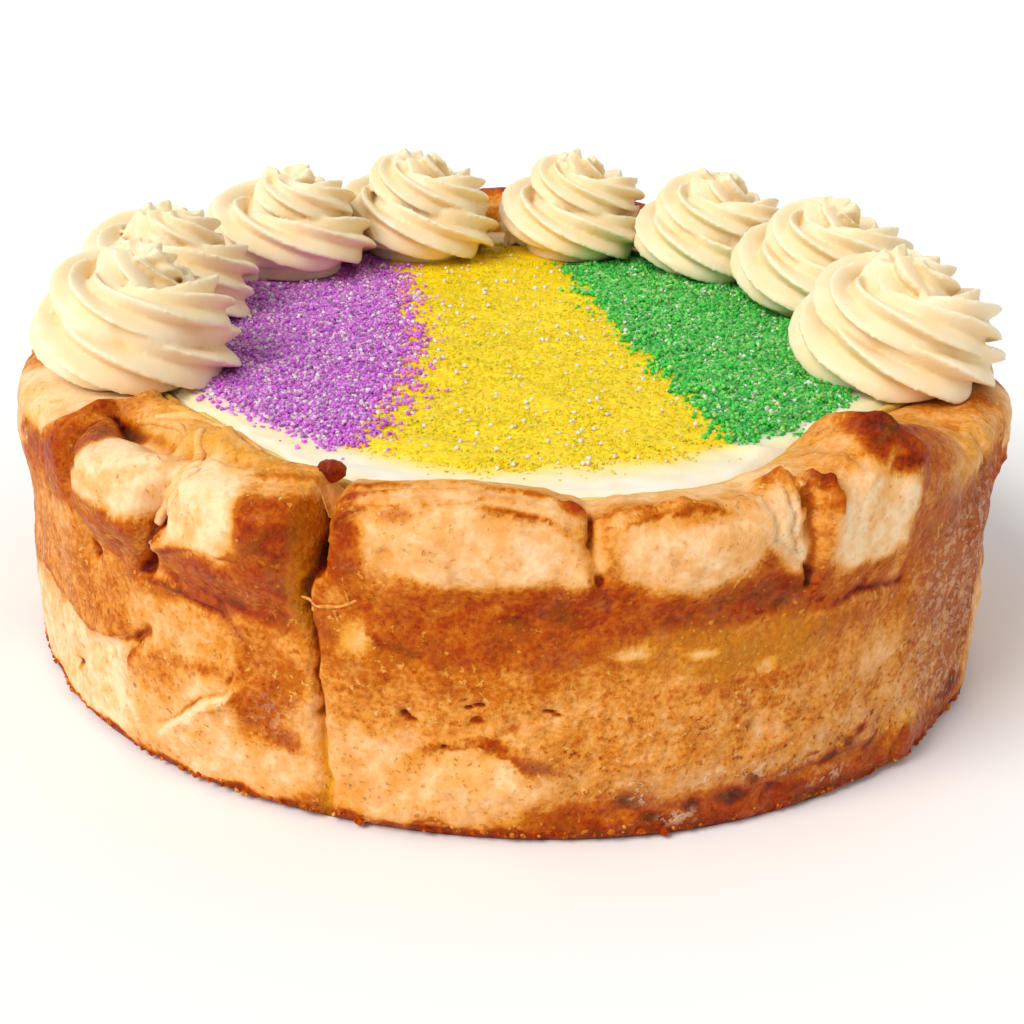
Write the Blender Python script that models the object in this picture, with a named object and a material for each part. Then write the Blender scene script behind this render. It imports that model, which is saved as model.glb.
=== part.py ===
"""King cake cheesecake: a baked dough case filled with cheesecake, iced, sugared and ringed with piped rosettes.

Metres, +Z up. The origin is the centre of the flat base, and the open arc of the rosette ring faces -Y.
Angles are in degrees from that front, positive towards +X.
"""

import math
import random

import bmesh
import bpy
import numpy as np
from mathutils import Matrix, Vector

MM = 0.001
GAP = 0.3

# The dough case, in millimetres.
BASE_RADIUS = 112.8
WALL_RADIUS = 116.2
FOOT_RADIUS = 111.0
FOOT_ROUND = 1.6
FLOOR = 9.0
ICING_PLANE = 68.3
CASE_COLUMNS = 104
WALL_ROWS = 12
RIM_ROWS = 8

# Height of the rim's crest: (angle, height).
CREST = (
    (-180, 83), (-168, 80), (-155, 80), (-142, 77), (-128, 76), (-117, 70), (-110, 68), (-90, 67.8),
    (-75, 67.6), (-62, 67.9), (-56, 69), (-50, 71.5), (-34, 72.5), (-28, 71.5), (-20, 72), (-17.5, 68.5),
    (-15, 73.5), (-4, 76.5), (6, 76), (8, 73.5), (11, 75), (18, 75), (26, 76), (30, 75.5), (35, 78),
    (40.5, 85.5), (45.5, 80), (52, 76), (58, 70.5), (64, 68.2), (78, 67.9), (96, 68), (112, 68), (127, 68.1),
    (137, 70.5), (148, 74), (156, 78), (166, 80.5), (180, 83),
)
# Radius of the crest, and of the case's inner wall.
CREST_RADIUS = (
    (-180, 110.5), (-120, 110), (-95, 107), (-70, 106), (-50, 104), (-34, 105), (-22, 109), (-14, 113),
    (8, 113), (26, 112), (41, 112.5), (52, 107), (75, 105), (100, 107), (125, 110), (180, 110.5),
)
INNER_RADIUS = (
    (-180, 104), (-130, 104), (-104, 101), (-75, 96), (-60, 88), (-46, 87), (-34, 91.5), (-24, 98),
    (-14, 100.5), (18, 100.5), (28, 97), (38, 91), (48, 88), (62, 88.5), (78, 96), (104, 101),
    (120, 104.5), (132, 106), (150, 106), (165, 104.5), (180, 104),
)
# How far the wall stands off the round, for a case that isn't quite circular.
OUT_OF_ROUND = (
    (-180, 0), (-120, -1.0), (-85, -2.2), (-70, -1.8), (-50, -0.6), (-20, 0), (30, 0), (50, -1.2),
    (75, -3.6), (95, -3.0), (130, -1.0), (180, 0),
)
# Pillows and knobs of dough on the wall: angle, height, half width, half height, how far out, squareness.
PILLOWS = (
    (-4.5, 65.5, 11.2, 11.0, 5.2, 6),
    (17.5, 62.5, 9.4, 10.5, 5.0, 6),
    (-26.5, 59.0, 6.8, 12.0, 4.4, 5),
    (-23.0, 64.0, 3.4, 5.0, 2.8, 2),
    (-41.5, 61.5, 6.8, 10.5, 7.0, 4),
    (-53.0, 60.0, 4.5, 12.0, 2.6, 2),
    (31.0, 66.0, 1.8, 10.0, 3.4, 2),
    (41.0, 77.0, 4.0, 8.0, 3.0, 2),
    (49.0, 63.0, 4.6, 9.0, 2.6, 2),
    (57.0, 50.0, 5.0, 9.0, 2.4, 2),
    (-44.0, 26.0, 6.5, 6.0, 2.2, 2),
    (-29.0, 25.0, 6.0, 7.0, 2.4, 2),
    (-36.0, 12.0, 10.0, 8.0, 1.4, 2),
    (3.0, 13.0, 9.0, 7.0, 1.6, 2),
    (49.5, 8.0, 3.2, 5.0, 2.2, 2),
    (28.0, 24.0, 14.0, 12.0, 1.2, 2),
    (83.0, 60.0, 9.0, 9.0, 2.6, 3),
    (101.0, 57.0, 7.0, 11.0, 3.6, 4),
    (119.0, 62.0, 9.0, 11.0, 4.0, 4),
    (139.0, 61.0, 8.0, 12.0, 3.6, 4),
    (160.0, 64.0, 10.0, 11.0, 4.2, 4),
    (-178.0, 66.0, 7.0, 12.0, 4.0, 3),
    (-160.0, 62.0, 9.0, 11.0, 3.8, 4),
    (-139.0, 60.0, 9.0, 12.0, 4.2, 4),
    (-117.0, 58.0, 8.0, 11.0, 4.0, 3),
    (-96.0, 55.0, 9.0, 9.0, 3.0, 3),
    (-75.0, 55.0, 8.0, 9.0, 2.2, 3),
    (120.0, 24.0, 12.0, 8.0, 1.8, 2),
    (-150.0, 22.0, 13.0, 9.0, 1.8, 2),
    (-95.0, 20.0, 10.0, 9.0, 1.8, 2),
)
# Folds and creases pressed into the wall: from (angle, height), to (angle, height), half width, depth.
CREASES = (
    (-17.5, 84, -17.5, 55, 2.6, 7.0),
    (-17.5, 56, -17.4, 0, 1.6, 4.6),
    (-52.0, 70, -49.0, 44, 2.8, 4.6),
    (-50.0, 72, -37.0, 73, 2.6, 4.0),
    (-33.0, 72, -37.0, 46, 2.4, 6.4),
    (7.6, 84, 9.0, 55, 1.6, 3.6),
    (28.6, 76, 29.6, 52, 1.8, 4.0),
    (-16.0, 50, 27.0, 48, 3.6, 2.2),
    (27.0, 49, 52.0, 53, 2.6, 1.4),
    (-38.0, 47, -20.0, 44, 2.6, 1.2),
    (-50.0, 19, -40.0, 31, 2.2, 1.6),
    (-34.0, 17, -24.0, 33, 2.2, 1.6),
    (35.5, 70, 37.5, 58, 4.0, 1.6),
    (62.0, 74, 68.0, 30, 2.2, 2.2),
    (92.0, 72, 91.0, 30, 2.0, 3.0),
    (109.5, 80, 110.0, 40, 1.8, 3.6),
    (129.0, 80, 128.5, 36, 1.8, 3.8),
    (149.0, 80, 150.0, 44, 1.8, 3.6),
    (172.0, 84, 171.0, 20, 1.8, 4.0),
    (-169.0, 84, -170.0, 40, 1.8, 3.6),
    (-149.5, 80, -149.0, 46, 1.8, 3.8),
    (-128.0, 80, -128.5, 34, 1.8, 3.8),
    (-106.5, 74, -106.0, 30, 1.8, 3.4),
    (-85.5, 70, -84.0, 40, 2.0, 2.8),
)

# The filling and the icing.
FILLING_RIM = 2.6
FILLING_TOP = 65.2
ICING_COLUMNS = 48
GRAINS = 56
GRAIN_SIZE = (0.8, 1.25)

# The rosettes: angle, ring radius, radius, height.
ROSETTES = (
    (-69.5, 90.5, 23.4, 27.6),
    (-98.0, 86.5, 22.4, 25.4),
    (-131.0, 80.5, 21.4, 26.2),
    (-159.0, 80.5, 21.2, 26.6),
    (170.5, 83.0, 20.2, 26.8),
    (143.8, 85.5, 20.8, 26.2),
    (116.5, 85.0, 23.2, 27.4),
    (82.0, 87.5, 25.0, 28.2),
)
RIDGES = 8
RIDGE_WIND = 300.0
COIL_PITCH = 9.5
ROSETTE_ROWS = 14


def curve(points, angle):
    """A smooth run through (angle, value) points: level at each one, with no overshoot between them."""
    angles = np.array([p[0] for p in points], float)
    values = np.array([p[1] for p in points], float)
    a = (np.asarray(angle, float) + 180.0) % 360.0 - 180.0
    i = np.clip(np.searchsorted(angles, a, side="right") - 1, 0, len(angles) - 2)
    t = (a - angles[i]) / (angles[i + 1] - angles[i])
    t = 0.35 * t + 0.65 * t * t * (3 - 2 * t)
    return values[i] * (1 - t) + values[i + 1] * t


def turn(a, b):
    """Signed angle from b to a, in degrees."""
    return (np.asarray(a, float) - b + 180.0) % 360.0 - 180.0


def step(x, low, high):
    t = np.clip((np.asarray(x, float) - low) / (high - low), 0, 1)
    return t * t * (3 - 2 * t)


def wall_relief(angle, z):
    """How far the wall's dough stands out or is pressed in, in millimetres."""
    out = np.zeros(np.broadcast(angle, z).shape)
    for a0, z0, wide, high, rise, square in PILLOWS:
        reach = np.abs(turn(angle, a0) / wide) ** square + np.abs((z - z0) / high) ** square
        out = out + rise * np.exp(-reach)
    for a0, z0, a1, z1, width, depth in CREASES:
        arc = math.radians(1) * WALL_RADIUS
        x = turn(angle, a0) * arc
        dx = (a1 - a0) * arc
        dz = z1 - z0
        along = np.clip((x * dx + (z - z0) * dz) / (dx * dx + dz * dz), 0, 1)
        away = np.hypot(x - along * dx, (z - z0) - along * dz)
        out = out - depth * np.exp(-((away / width) ** 2))
    return out


def wall_radius(angle, z):
    flare = BASE_RADIUS + (WALL_RADIUS - BASE_RADIUS) * step(z, -10, 62)
    return flare + curve(OUT_OF_ROUND, angle) * step(z, -20, 60) + wall_relief(angle, z)


def case_point(angle, row):
    """Radius and height of the case's outside and rim. Row 0 to 1 climbs the wall, and 1 to 2 crosses the rim."""
    crest = curve(CREST, angle)
    shoulder = crest - 7.5
    if row <= 1:
        z = FOOT_ROUND + (shoulder - FOOT_ROUND) * row
        return wall_radius(angle, z), z
    across = math.pi * (row - 1)
    inner = curve(INNER_RADIUS, angle)
    outer = wall_radius(angle, shoulder)
    peak = curve(CREST_RADIUS, angle)
    low = shoulder if across < math.pi / 2 else np.minimum(ICING_PLANE - 0.8, crest - 1.0)
    lift = math.sin(across) ** 0.8
    z = low + (crest - low) * lift
    side = math.cos(across)
    r = peak + (outer - peak) * side if side > 0 else peak + (peak - inner) * side
    notch = wall_relief(angle, np.minimum(z, 74)) * max(side, 0) * 0.4
    return r + np.minimum(notch, 0), z


def spot(radius, angle, z):
    """A point in metres from a radius and height in millimetres and an angle from the front."""
    t = math.radians(angle)
    return Vector((radius * math.sin(t), -radius * math.cos(t), z)) * MM


def material(name, colour, roughness, subsurface=0.0):
    made = bpy.data.materials.new(name)
    made.use_nodes = True
    shader = made.node_tree.nodes["Principled BSDF"]
    shader.inputs["Base Color"].default_value = (*colour, 1)
    shader.inputs["Roughness"].default_value = roughness
    shader.inputs["Metallic"].default_value = 0
    shader.inputs["Subsurface Weight"].default_value = subsurface
    made.diffuse_color = (*colour, 1)
    return made


def finish(bm, name, surface, sharp=50):
    """The mesh as a named object with its own material, shaded smooth but for its sharp edges."""
    bmesh.ops.recalc_face_normals(bm, faces=bm.faces)
    if bm.calc_volume(signed=True) < 0:
        bmesh.ops.reverse_faces(bm, faces=bm.faces)
    mesh = bpy.data.meshes.new(name)
    bm.to_mesh(mesh)
    bm.free()
    mesh.shade_smooth()
    mesh.set_sharp_from_angle(angle=math.radians(sharp))
    mesh.materials.append(surface)
    made = bpy.data.objects.new(name, mesh)
    bpy.context.scene.collection.objects.link(made)
    return made


def turned(profile, columns):
    """A closed body of revolution from (radius, height) pairs in millimetres, with its rows of vertices."""
    bm = bmesh.new()
    chain = [bm.verts.new((0, -r * MM, z * MM)) for r, z in profile]
    edges = [bm.edges.new(pair) for pair in zip(chain, chain[1:])]
    bmesh.ops.spin(
        bm, geom=chain + edges, cent=(0, 0, 0), axis=(0, 0, 1), angle=math.tau, steps=columns, use_merge=True
    )
    bmesh.ops.remove_doubles(bm, verts=bm.verts, dist=1e-6)
    return bm


def front_angle(x, y):
    return math.degrees(math.atan2(x, -y))


def closer_at_front(angle):
    """Columns are crowded towards the front, where the dough is most folded."""
    return angle - 22.0 * math.sin(math.radians(angle))


def build_case():
    """The case: a flat foot, a wall with pillows and creases, an uneven rim and a plain inside."""
    rows = [i / WALL_ROWS for i in range(WALL_ROWS + 1)]
    rows += [1 + (i + 1) / RIM_ROWS for i in range(RIM_ROWS)]
    outline = [(0, 0), (FOOT_RADIUS, 0)]
    outline += [(200 - 5 * i, 100 + i) for i in range(len(rows))]
    outline += [(40, 60), (30, 55), (0, FLOOR)]
    bm = turned(outline, CASE_COLUMNS)
    for v in bm.verts:
        r = math.hypot(v.co.x, v.co.y) / MM
        z = v.co.z / MM
        angle = closer_at_front(front_angle(v.co.x, v.co.y))
        inner = float(curve(INNER_RADIUS, angle))
        if z > 99:
            r, z = (float(n) for n in case_point(angle, rows[round(z - 100)]))
        elif z > 59:
            r, z = inner - 0.4, ICING_PLANE - 4
        elif z > 54:
            r, z = inner - 1.5, FLOOR
        elif z < 1 and r > 1:
            r = FOOT_RADIUS + 0.4 * math.sin(math.radians(5 * angle))
        v.co = spot(r, angle, z)
    return finish(bm, "crust", material("baked_dough", (0.78, 0.45, 0.17), 0.5, 0.1), 60)


def build_filling():
    """The cheesecake fills the case up to the icing, and stands up as a thin ring between icing and dough."""
    outline = [(0, FLOOR + GAP), (80, FLOOR + GAP), (90, 62)]
    outline += [(91, ICING_PLANE - 1.0), (89, ICING_PLANE - 0.8), (88, FILLING_TOP), (0, FILLING_TOP)]
    bm = turned(outline, 60)
    for v in bm.verts:
        r = math.hypot(v.co.x, v.co.y) / MM
        z = v.co.z / MM
        angle = front_angle(v.co.x, v.co.y)
        inner = float(curve(INNER_RADIUS, angle))
        if r < 1:
            continue
        inset = {80: 2.6, 90: 1.1, 91: 1.1, 89: FILLING_RIM - 0.7, 88: FILLING_RIM + 0.4}[round(r)]
        if round(r) in (91, 89):
            z += 0.7 * (1 - step(abs(angle), 40, 56))
        v.co = spot(inner - inset, angle, z)
    return finish(bm, "cheesecake_filling", material("cheesecake", (0.93, 0.72, 0.30), 0.45, 0.2))


def icing_height(r, angle):
    """A spread of icing: nearly level, with soft strokes of the knife in the middle and along the front."""
    open_ground = 1 - step(r, 52, 60)
    front = (1 - step(abs(angle), 38, 55)) * step(r, 60, 70)
    x = r * math.sin(math.radians(angle))
    y = r * math.cos(math.radians(angle))
    stroke = 0.35 * math.sin(x / 9.0 + 1.3 * math.sin(y / 14.0)) + 0.2 * math.sin(y / 6.0 + x / 21.0)
    return ICING_PLANE + stroke * max(float(open_ground), float(front))


def build_grains(rng):
    """Coarse sugar in three strips, each grain sunk a little way into the icing."""
    heap = bpy.data.collections.new("sugar grains")
    placed = []
    while len(placed) < GRAINS:
        x = rng.uniform(-58, 58)
        y = rng.uniform(-74, 56)
        r = math.hypot(x, y)
        angle = front_angle(x, y)
        if r > (60 if abs(angle) > 50 else 84):
            continue
        if any(math.hypot(x - px, y - py) < 5.5 for px, py in placed):
            continue
        placed.append((x, y))
        bm = bmesh.new()
        size = rng.uniform(*GRAIN_SIZE)
        z = icing_height(r, angle) + 0.25 * size
        spin = Matrix.Rotation(rng.uniform(0, math.tau), 4, Vector([rng.gauss(0, 1) for _ in range(3)]))
        place = Matrix.Translation(Vector((x, y, z)) * MM) @ spin
        bmesh.ops.create_icosphere(bm, subdivisions=1, radius=size * MM, matrix=place)
        mesh = bpy.data.meshes.new("grain")
        bm.to_mesh(mesh)
        bm.free()
        heap.objects.link(bpy.data.objects.new("grain", mesh))
    return heap


def build_icing():
    """White icing spread over the filling, with coarse sugar grains fused to it."""
    outline = [(0, FILLING_TOP + GAP), (84, FILLING_TOP + GAP), (92, ICING_PLANE - 1.8)]
    outline += [(91, ICING_PLANE - 0.5), (90, ICING_PLANE)]
    outline += [(r, ICING_PLANE) for r in (80, 66, 52, 38, 24, 10, 0)]
    bm = turned(outline, ICING_COLUMNS)
    for v in bm.verts:
        r = math.hypot(v.co.x, v.co.y) / MM
        z = v.co.z / MM
        angle = front_angle(v.co.x, v.co.y)
        edge = float(curve(INNER_RADIUS, angle)) - FILLING_RIM - 1.0
        if r > 81:
            r = edge - {84: 1.0, 92: 0.0, 91: 0.5, 90: 1.8}[round(r)]
        elif r > 60:
            r *= 1 + (edge / 97.5 - 1) * float(step(r, 60, 80))
        if z > ICING_PLANE - 0.1:
            z = icing_height(r, angle)
        v.co = spot(r, angle, z)
    icing = finish(bm, "icing", material("white_icing", (0.95, 0.90, 0.78), 0.5, 0.2))
    heap = build_grains(random.Random(7))
    join = icing.modifiers.new("sugar", "BOOLEAN")
    join.operation = "UNION"
    join.operand_type = "COLLECTION"
    join.collection = heap
    join.solver = "EXACT"
    bpy.context.view_layer.update()
    joined = bpy.data.meshes.new_from_object(icing.evaluated_get(bpy.context.evaluated_depsgraph_get()))
    icing.modifiers.clear()
    icing.data = joined
    for grain in list(heap.objects):
        bpy.data.objects.remove(grain)
    bpy.data.collections.remove(heap)
    return icing


def rosette_profile(s, radius, height):
    """The rosette's envelope: a full belly low down under a broad dome, drawn to a small point."""
    t = 0.5 * math.pi * s
    foot = 0.88 + 0.12 * float(step(s, 0, 0.22))
    r = radius * foot * max(math.cos(t), 0) ** 0.74
    return r, height * (0.93 * math.sin(t) ** 1.1 + 0.07 * s**6)


def build_rosette(number, angle, ring, radius, height):
    """A swirl piped through a star nozzle: blade-like ridges that wind down and outwards over two coils."""
    columns = 3 * RIDGES
    outline = [(0, 0)] + [(10 - 0.5 * i, 20 + i) for i in range(ROSETTE_ROWS)] + [(0, 60)]
    bm = turned(outline, columns)
    rng = random.Random(number)
    lean = [rng.uniform(-1, 1) for _ in range(RIDGES)]
    start = rng.uniform(0, 360)
    cx = ring * math.sin(math.radians(angle))
    cy = -ring * math.cos(math.radians(angle))
    foot = ICING_PLANE + GAP
    for v in bm.verts:
        if math.hypot(v.co.x, v.co.y) < 1e-5:
            z = 0 if v.co.z < 0.001 else height
            v.co = Vector((cx, cy, foot + z)) * MM
            continue
        row = round(v.co.z / MM - 20)
        column = round(math.degrees(math.atan2(v.co.y, v.co.x)) / (360 / columns)) % columns
        s = row / ROSETTE_ROWS
        ridge, phase = divmod(column, 3)
        crest = (1.0, -0.75, -1.0)[phase]
        swell = 1 + 0.25 * lean[ridge]
        r, z = rosette_profile(s, radius, height)
        wind = start + RIDGE_WIND * (1 - s) + (0, 13, 29)[phase] + 360 * ridge / RIDGES
        coil = math.cos(math.tau * (z + COIL_PITCH * wind / 360) / COIL_PITCH)
        depth = radius * 0.115 * min(1, r / (0.45 * radius)) * swell
        r = max(r - depth + depth * crest - 0.5 * max(0, -coil) * (s < 0.8), 0.6)
        z += (0.6 if crest > 0 else -0.5) * min(1, 3 * s) * (height / 26)
        if row == 0:
            z = 0
        x = r * math.cos(math.radians(wind))
        y = r * math.sin(math.radians(wind))
        v.co = Vector((cx + x, cy + y, foot + z)) * MM
    clear_neighbours(bm, number)
    return finish(bm, "rosette_%d" % number, material("buttercream_%d" % number, (0.96, 0.90, 0.72), 0.45, 0.3), 35)


def centre(number):
    angle, ring = ROSETTES[number - 1][:2]
    return Vector((ring * math.sin(math.radians(angle)), -ring * math.cos(math.radians(angle)), 0))


def clear_neighbours(bm, number):
    """Rosettes that meet are pressed flat against each other, with a gap between them."""
    own = centre(number)
    for other in (number - 1, number + 1):
        if not 1 <= other <= len(ROSETTES):
            continue
        apart = centre(other) - own
        share = ROSETTES[number - 1][2] / (ROSETTES[number - 1][2] + ROSETTES[other - 1][2])
        limit = apart.length * share - 0.5 * GAP
        away = apart.normalized()
        for v in bm.verts:
            past = (v.co / MM - own).dot(away) - limit
            if past > 0:
                v.co -= away * past * MM


for existing in list(bpy.data.objects):
    bpy.data.objects.remove(existing)

build_case()
build_filling()
build_icing()
for index, (place, ring_radius, swirl_radius, swirl_height) in enumerate(ROSETTES, 1):
    build_rosette(index, place, ring_radius, swirl_radius, swirl_height)
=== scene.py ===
"""King cake cheesecake, dressed: a folded dough case, cheesecake, icing, coloured sugar and piped rosettes.

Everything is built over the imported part, in its frame. Sizes are in millimetres, and angles in degrees from
the front (-Y), positive towards +X, until a place is worked out in metres for a mesh.
"""
import math
import random

import bmesh
import bpy
import numpy as np
from mathutils import Matrix, Vector, noise
from mathutils.bvhtree import BVHTree


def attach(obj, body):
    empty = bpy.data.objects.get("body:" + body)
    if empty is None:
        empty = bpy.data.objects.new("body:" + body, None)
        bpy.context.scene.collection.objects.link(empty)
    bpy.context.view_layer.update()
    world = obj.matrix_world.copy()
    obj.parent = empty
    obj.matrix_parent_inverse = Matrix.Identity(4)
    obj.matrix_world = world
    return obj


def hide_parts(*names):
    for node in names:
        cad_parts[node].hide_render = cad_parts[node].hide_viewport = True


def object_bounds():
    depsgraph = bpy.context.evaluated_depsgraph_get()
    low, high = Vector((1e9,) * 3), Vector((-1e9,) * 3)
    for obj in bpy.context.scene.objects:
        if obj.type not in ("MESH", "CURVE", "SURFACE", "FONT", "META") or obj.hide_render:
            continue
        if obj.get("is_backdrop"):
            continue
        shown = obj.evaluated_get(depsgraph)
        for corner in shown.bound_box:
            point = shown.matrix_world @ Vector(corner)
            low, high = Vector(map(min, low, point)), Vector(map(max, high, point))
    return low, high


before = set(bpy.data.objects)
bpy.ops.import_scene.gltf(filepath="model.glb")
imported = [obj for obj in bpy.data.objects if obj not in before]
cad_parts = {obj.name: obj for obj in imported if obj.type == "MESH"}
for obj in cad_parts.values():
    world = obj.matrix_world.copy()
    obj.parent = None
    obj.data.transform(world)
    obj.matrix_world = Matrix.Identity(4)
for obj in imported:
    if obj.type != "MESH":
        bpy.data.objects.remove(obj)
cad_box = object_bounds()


# The camera.
# It looks down on the front of the cake from about arm's length, tipped by the small roll of the picture.
EYE = Vector((0, -0.46257, 0.21573))
LOOKS_AT = Vector((0.00006, 0, 0.02455))
ROLL = 0.0435
ahead = (LOOKS_AT - EYE).normalized()
level = ahead.cross(Vector((0, 0, 1))).normalized()
upward = level.cross(ahead)
right = level * math.cos(ROLL) + upward * math.sin(ROLL)
top = upward * math.cos(ROLL) - level * math.sin(ROLL)
camera = bpy.data.objects.new("camera", bpy.data.cameras.new("camera"))
camera.data.sensor_width = 36
camera.data.lens = 71.87
camera.data.clip_start = 0.01
camera.matrix_world = Matrix.Translation(EYE) @ Matrix((right, top, -ahead)).transposed().to_4x4()
bpy.context.scene.collection.objects.link(camera)
bpy.context.scene.camera = camera


# The floor and the light.
# A plain white studio: a wide soft key high on the front left, and a bright white room that fills the
# shadows.
MM = 0.001
KEY_FROM = Vector((-0.62, -0.62, 0.80))
bpy.context.scene.view_settings.view_transform = "Standard"
key = bpy.data.objects.new("key", bpy.data.lights.new("key", "SUN"))
key.data.angle = math.radians(32)
key.data.energy = 2.35
key.data.color = (1.0, 0.98, 0.95)
key.rotation_euler = (-KEY_FROM).to_track_quat("-Z", "Y").to_euler()
bpy.context.scene.collection.objects.link(key)
room = bpy.data.worlds.new("room")
room.use_nodes = True
room.node_tree.nodes["Background"].inputs["Color"].default_value = (1.0, 0.995, 0.985, 1)
room.node_tree.nodes["Background"].inputs["Strength"].default_value = 0.60
bpy.context.scene.world = room

bm = bmesh.new()
bmesh.ops.create_grid(bm, x_segments=1, y_segments=1, size=3.0)
floor_mesh = bpy.data.meshes.new("floor")
bm.to_mesh(floor_mesh)
bm.free()
floor_mesh.transform(Matrix.Translation((0, 0, -0.0002)))
floor = bpy.data.objects.new("floor", floor_mesh)
bpy.context.scene.collection.objects.link(floor)
floor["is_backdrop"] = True
paint = bpy.data.materials.new("floor_paint")
paint.use_nodes = True
paint.node_tree.nodes["Principled BSDF"].inputs["Base Color"].default_value = (0.97, 0.97, 0.97, 1)
paint.node_tree.nodes["Principled BSDF"].inputs["Roughness"].default_value = 0.9
paint.node_tree.nodes["Principled BSDF"].inputs["Specular IOR Level"].default_value = 0.0
floor_mesh.materials.append(paint)


# The dough case.
# Sweet dough baked in a round tin: a wall of folded pillows and creases with a crumbly foot, its rim turned
# over in layered sheets. The wall is one skin of dough, so it is one mesh, rolled round the cake and pushed
# into its folds.
BASE_RADIUS = 112.8
WALL_RADIUS = 116.2
FOOT_RADIUS = 111.0
FOOT_ROUND = 1.6
FLOOR = 9.0
ICING_PLANE = 68.3
SHOULDER = 7.5
RIM_ARC = 24.0
CASE_COLUMNS = 760
WALL_ROWS = 86
RIM_ROWS = 36
# Height of the rim's crest: (angle, height).
CREST = (
    (-180, 78.5), (-168, 77), (-155, 76), (-142, 74.5), (-128, 73), (-117, 70), (-110, 68), (-90, 67.8),
    (-75, 67.6), (-62, 67.9), (-56, 69), (-50, 71.5), (-34, 72.5), (-28, 71.5), (-20, 72), (-18.2, 67.5),
    (-15.6, 73), (-4, 75.4), (3, 74.4), (6, 72.8), (8, 70.8), (11, 72.6), (18, 73), (24, 72.6), (27, 74.4),
    (31, 75), (35, 76.6), (38, 79.5), (40.2, 83), (42.4, 80), (46, 77.5), (52, 74.5), (58, 70.5), (64, 68.2),
    (78, 67.9), (96, 68), (112, 68), (127, 68.1), (137, 70.5), (148, 73), (156, 75), (166, 77), (180, 78.5),
)
# Radius of the crest, and of the case's inner wall.
CREST_RADIUS = (
    (-180, 110.5), (-120, 110), (-95, 107), (-70, 106), (-50, 104), (-34, 105), (-22, 109), (-14, 113),
    (8, 113), (26, 112), (41, 112.5), (52, 107), (75, 105), (100, 107), (125, 110), (180, 110.5),
)
INNER_RADIUS = (
    (-180, 104), (-130, 104), (-104, 101), (-75, 96), (-60, 90), (-46, 90), (-34, 94.5), (-24, 100.5),
    (-14, 102), (18, 100.5), (28, 97), (38, 91), (48, 88), (62, 88.5), (78, 96), (104, 101),
    (120, 104.5), (132, 106), (150, 106), (165, 104.5), (180, 104),
)
# How far the wall stands off the round, for a case that isn't quite circular.
OUT_OF_ROUND = (
    (-180, 0), (-120, -1.0), (-85, -2.2), (-70, -1.8), (-50, -0.6), (-20, 0), (30, 0), (50, -1.2),
    (75, -3.6), (95, -3.0), (130, -1.0), (180, 0),
)
# Pillows and knobs of dough on the wall: angle, height, half width, half height, how far out, squareness.
PILLOWS = (
    (-4.5, 67.0, 11.2, 12.0, 3.6, 2.4),
    (17.2, 66.0, 9.6, 12.0, 3.6, 2.4),
    (-27.0, 60.0, 7.6, 12.5, 4.2, 4),
    (-23.0, 64.0, 3.4, 5.0, 2.8, 2),
    (-41.5, 61.5, 6.8, 10.5, 7.0, 4),
    (-53.0, 60.0, 4.5, 12.0, 2.6, 2),
    (31.4, 67.0, 1.6, 9.0, 2.6, 2),
    (42.5, 70.0, 2.6, 11.0, 2.6, 2),
    (36.8, 66.0, 6.4, 11.0, 1.8, 3),
    (49.0, 63.0, 4.6, 9.0, 1.6, 2),
    (57.0, 50.0, 5.0, 9.0, 2.4, 2),
    (-44.0, 26.0, 6.5, 6.0, 2.2, 2),
    (-29.0, 25.0, 6.0, 7.0, 2.4, 2),
    (-36.0, 12.0, 10.0, 8.0, 1.4, 2),
    (3.0, 13.0, 9.0, 7.0, 1.6, 2),
    (49.5, 8.0, 3.2, 5.0, 2.2, 2),
    (28.0, 24.0, 14.0, 12.0, 1.2, 2),
    (80.0, 61.0, 7.0, 8.6, 2.6, 3),
    (99.5, 60.0, 6.4, 11.0, 3.4, 3),
    (119.5, 61.0, 9.4, 12.0, 4.0, 4),
    (139.5, 64.0, 7.0, 9.0, 3.0, 3),
    (161.0, 62.0, 9.4, 13.0, 4.4, 3),
    (180.0, 67.0, 6.6, 10.0, 3.2, 3),
    (-160.5, 61.0, 7.6, 12.5, 4.2, 4),
    (-140.0, 63.0, 9.0, 10.0, 3.4, 3),
    (-117.5, 57.0, 9.6, 12.0, 4.2, 4),
    (-95.0, 58.0, 7.0, 8.6, 2.4, 3),
    (-74.0, 56.0, 9.0, 9.0, 2.2, 3),
    (136.0, 30.0, 8.0, 6.0, 1.6, 2),
    (-172.0, 34.0, 9.0, 7.0, 1.6, 2),
    (120.0, 24.0, 12.0, 8.0, 1.8, 2),
    (-150.0, 22.0, 13.0, 9.0, 1.8, 2),
    (-95.0, 20.0, 10.0, 9.0, 1.8, 2),
)
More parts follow.
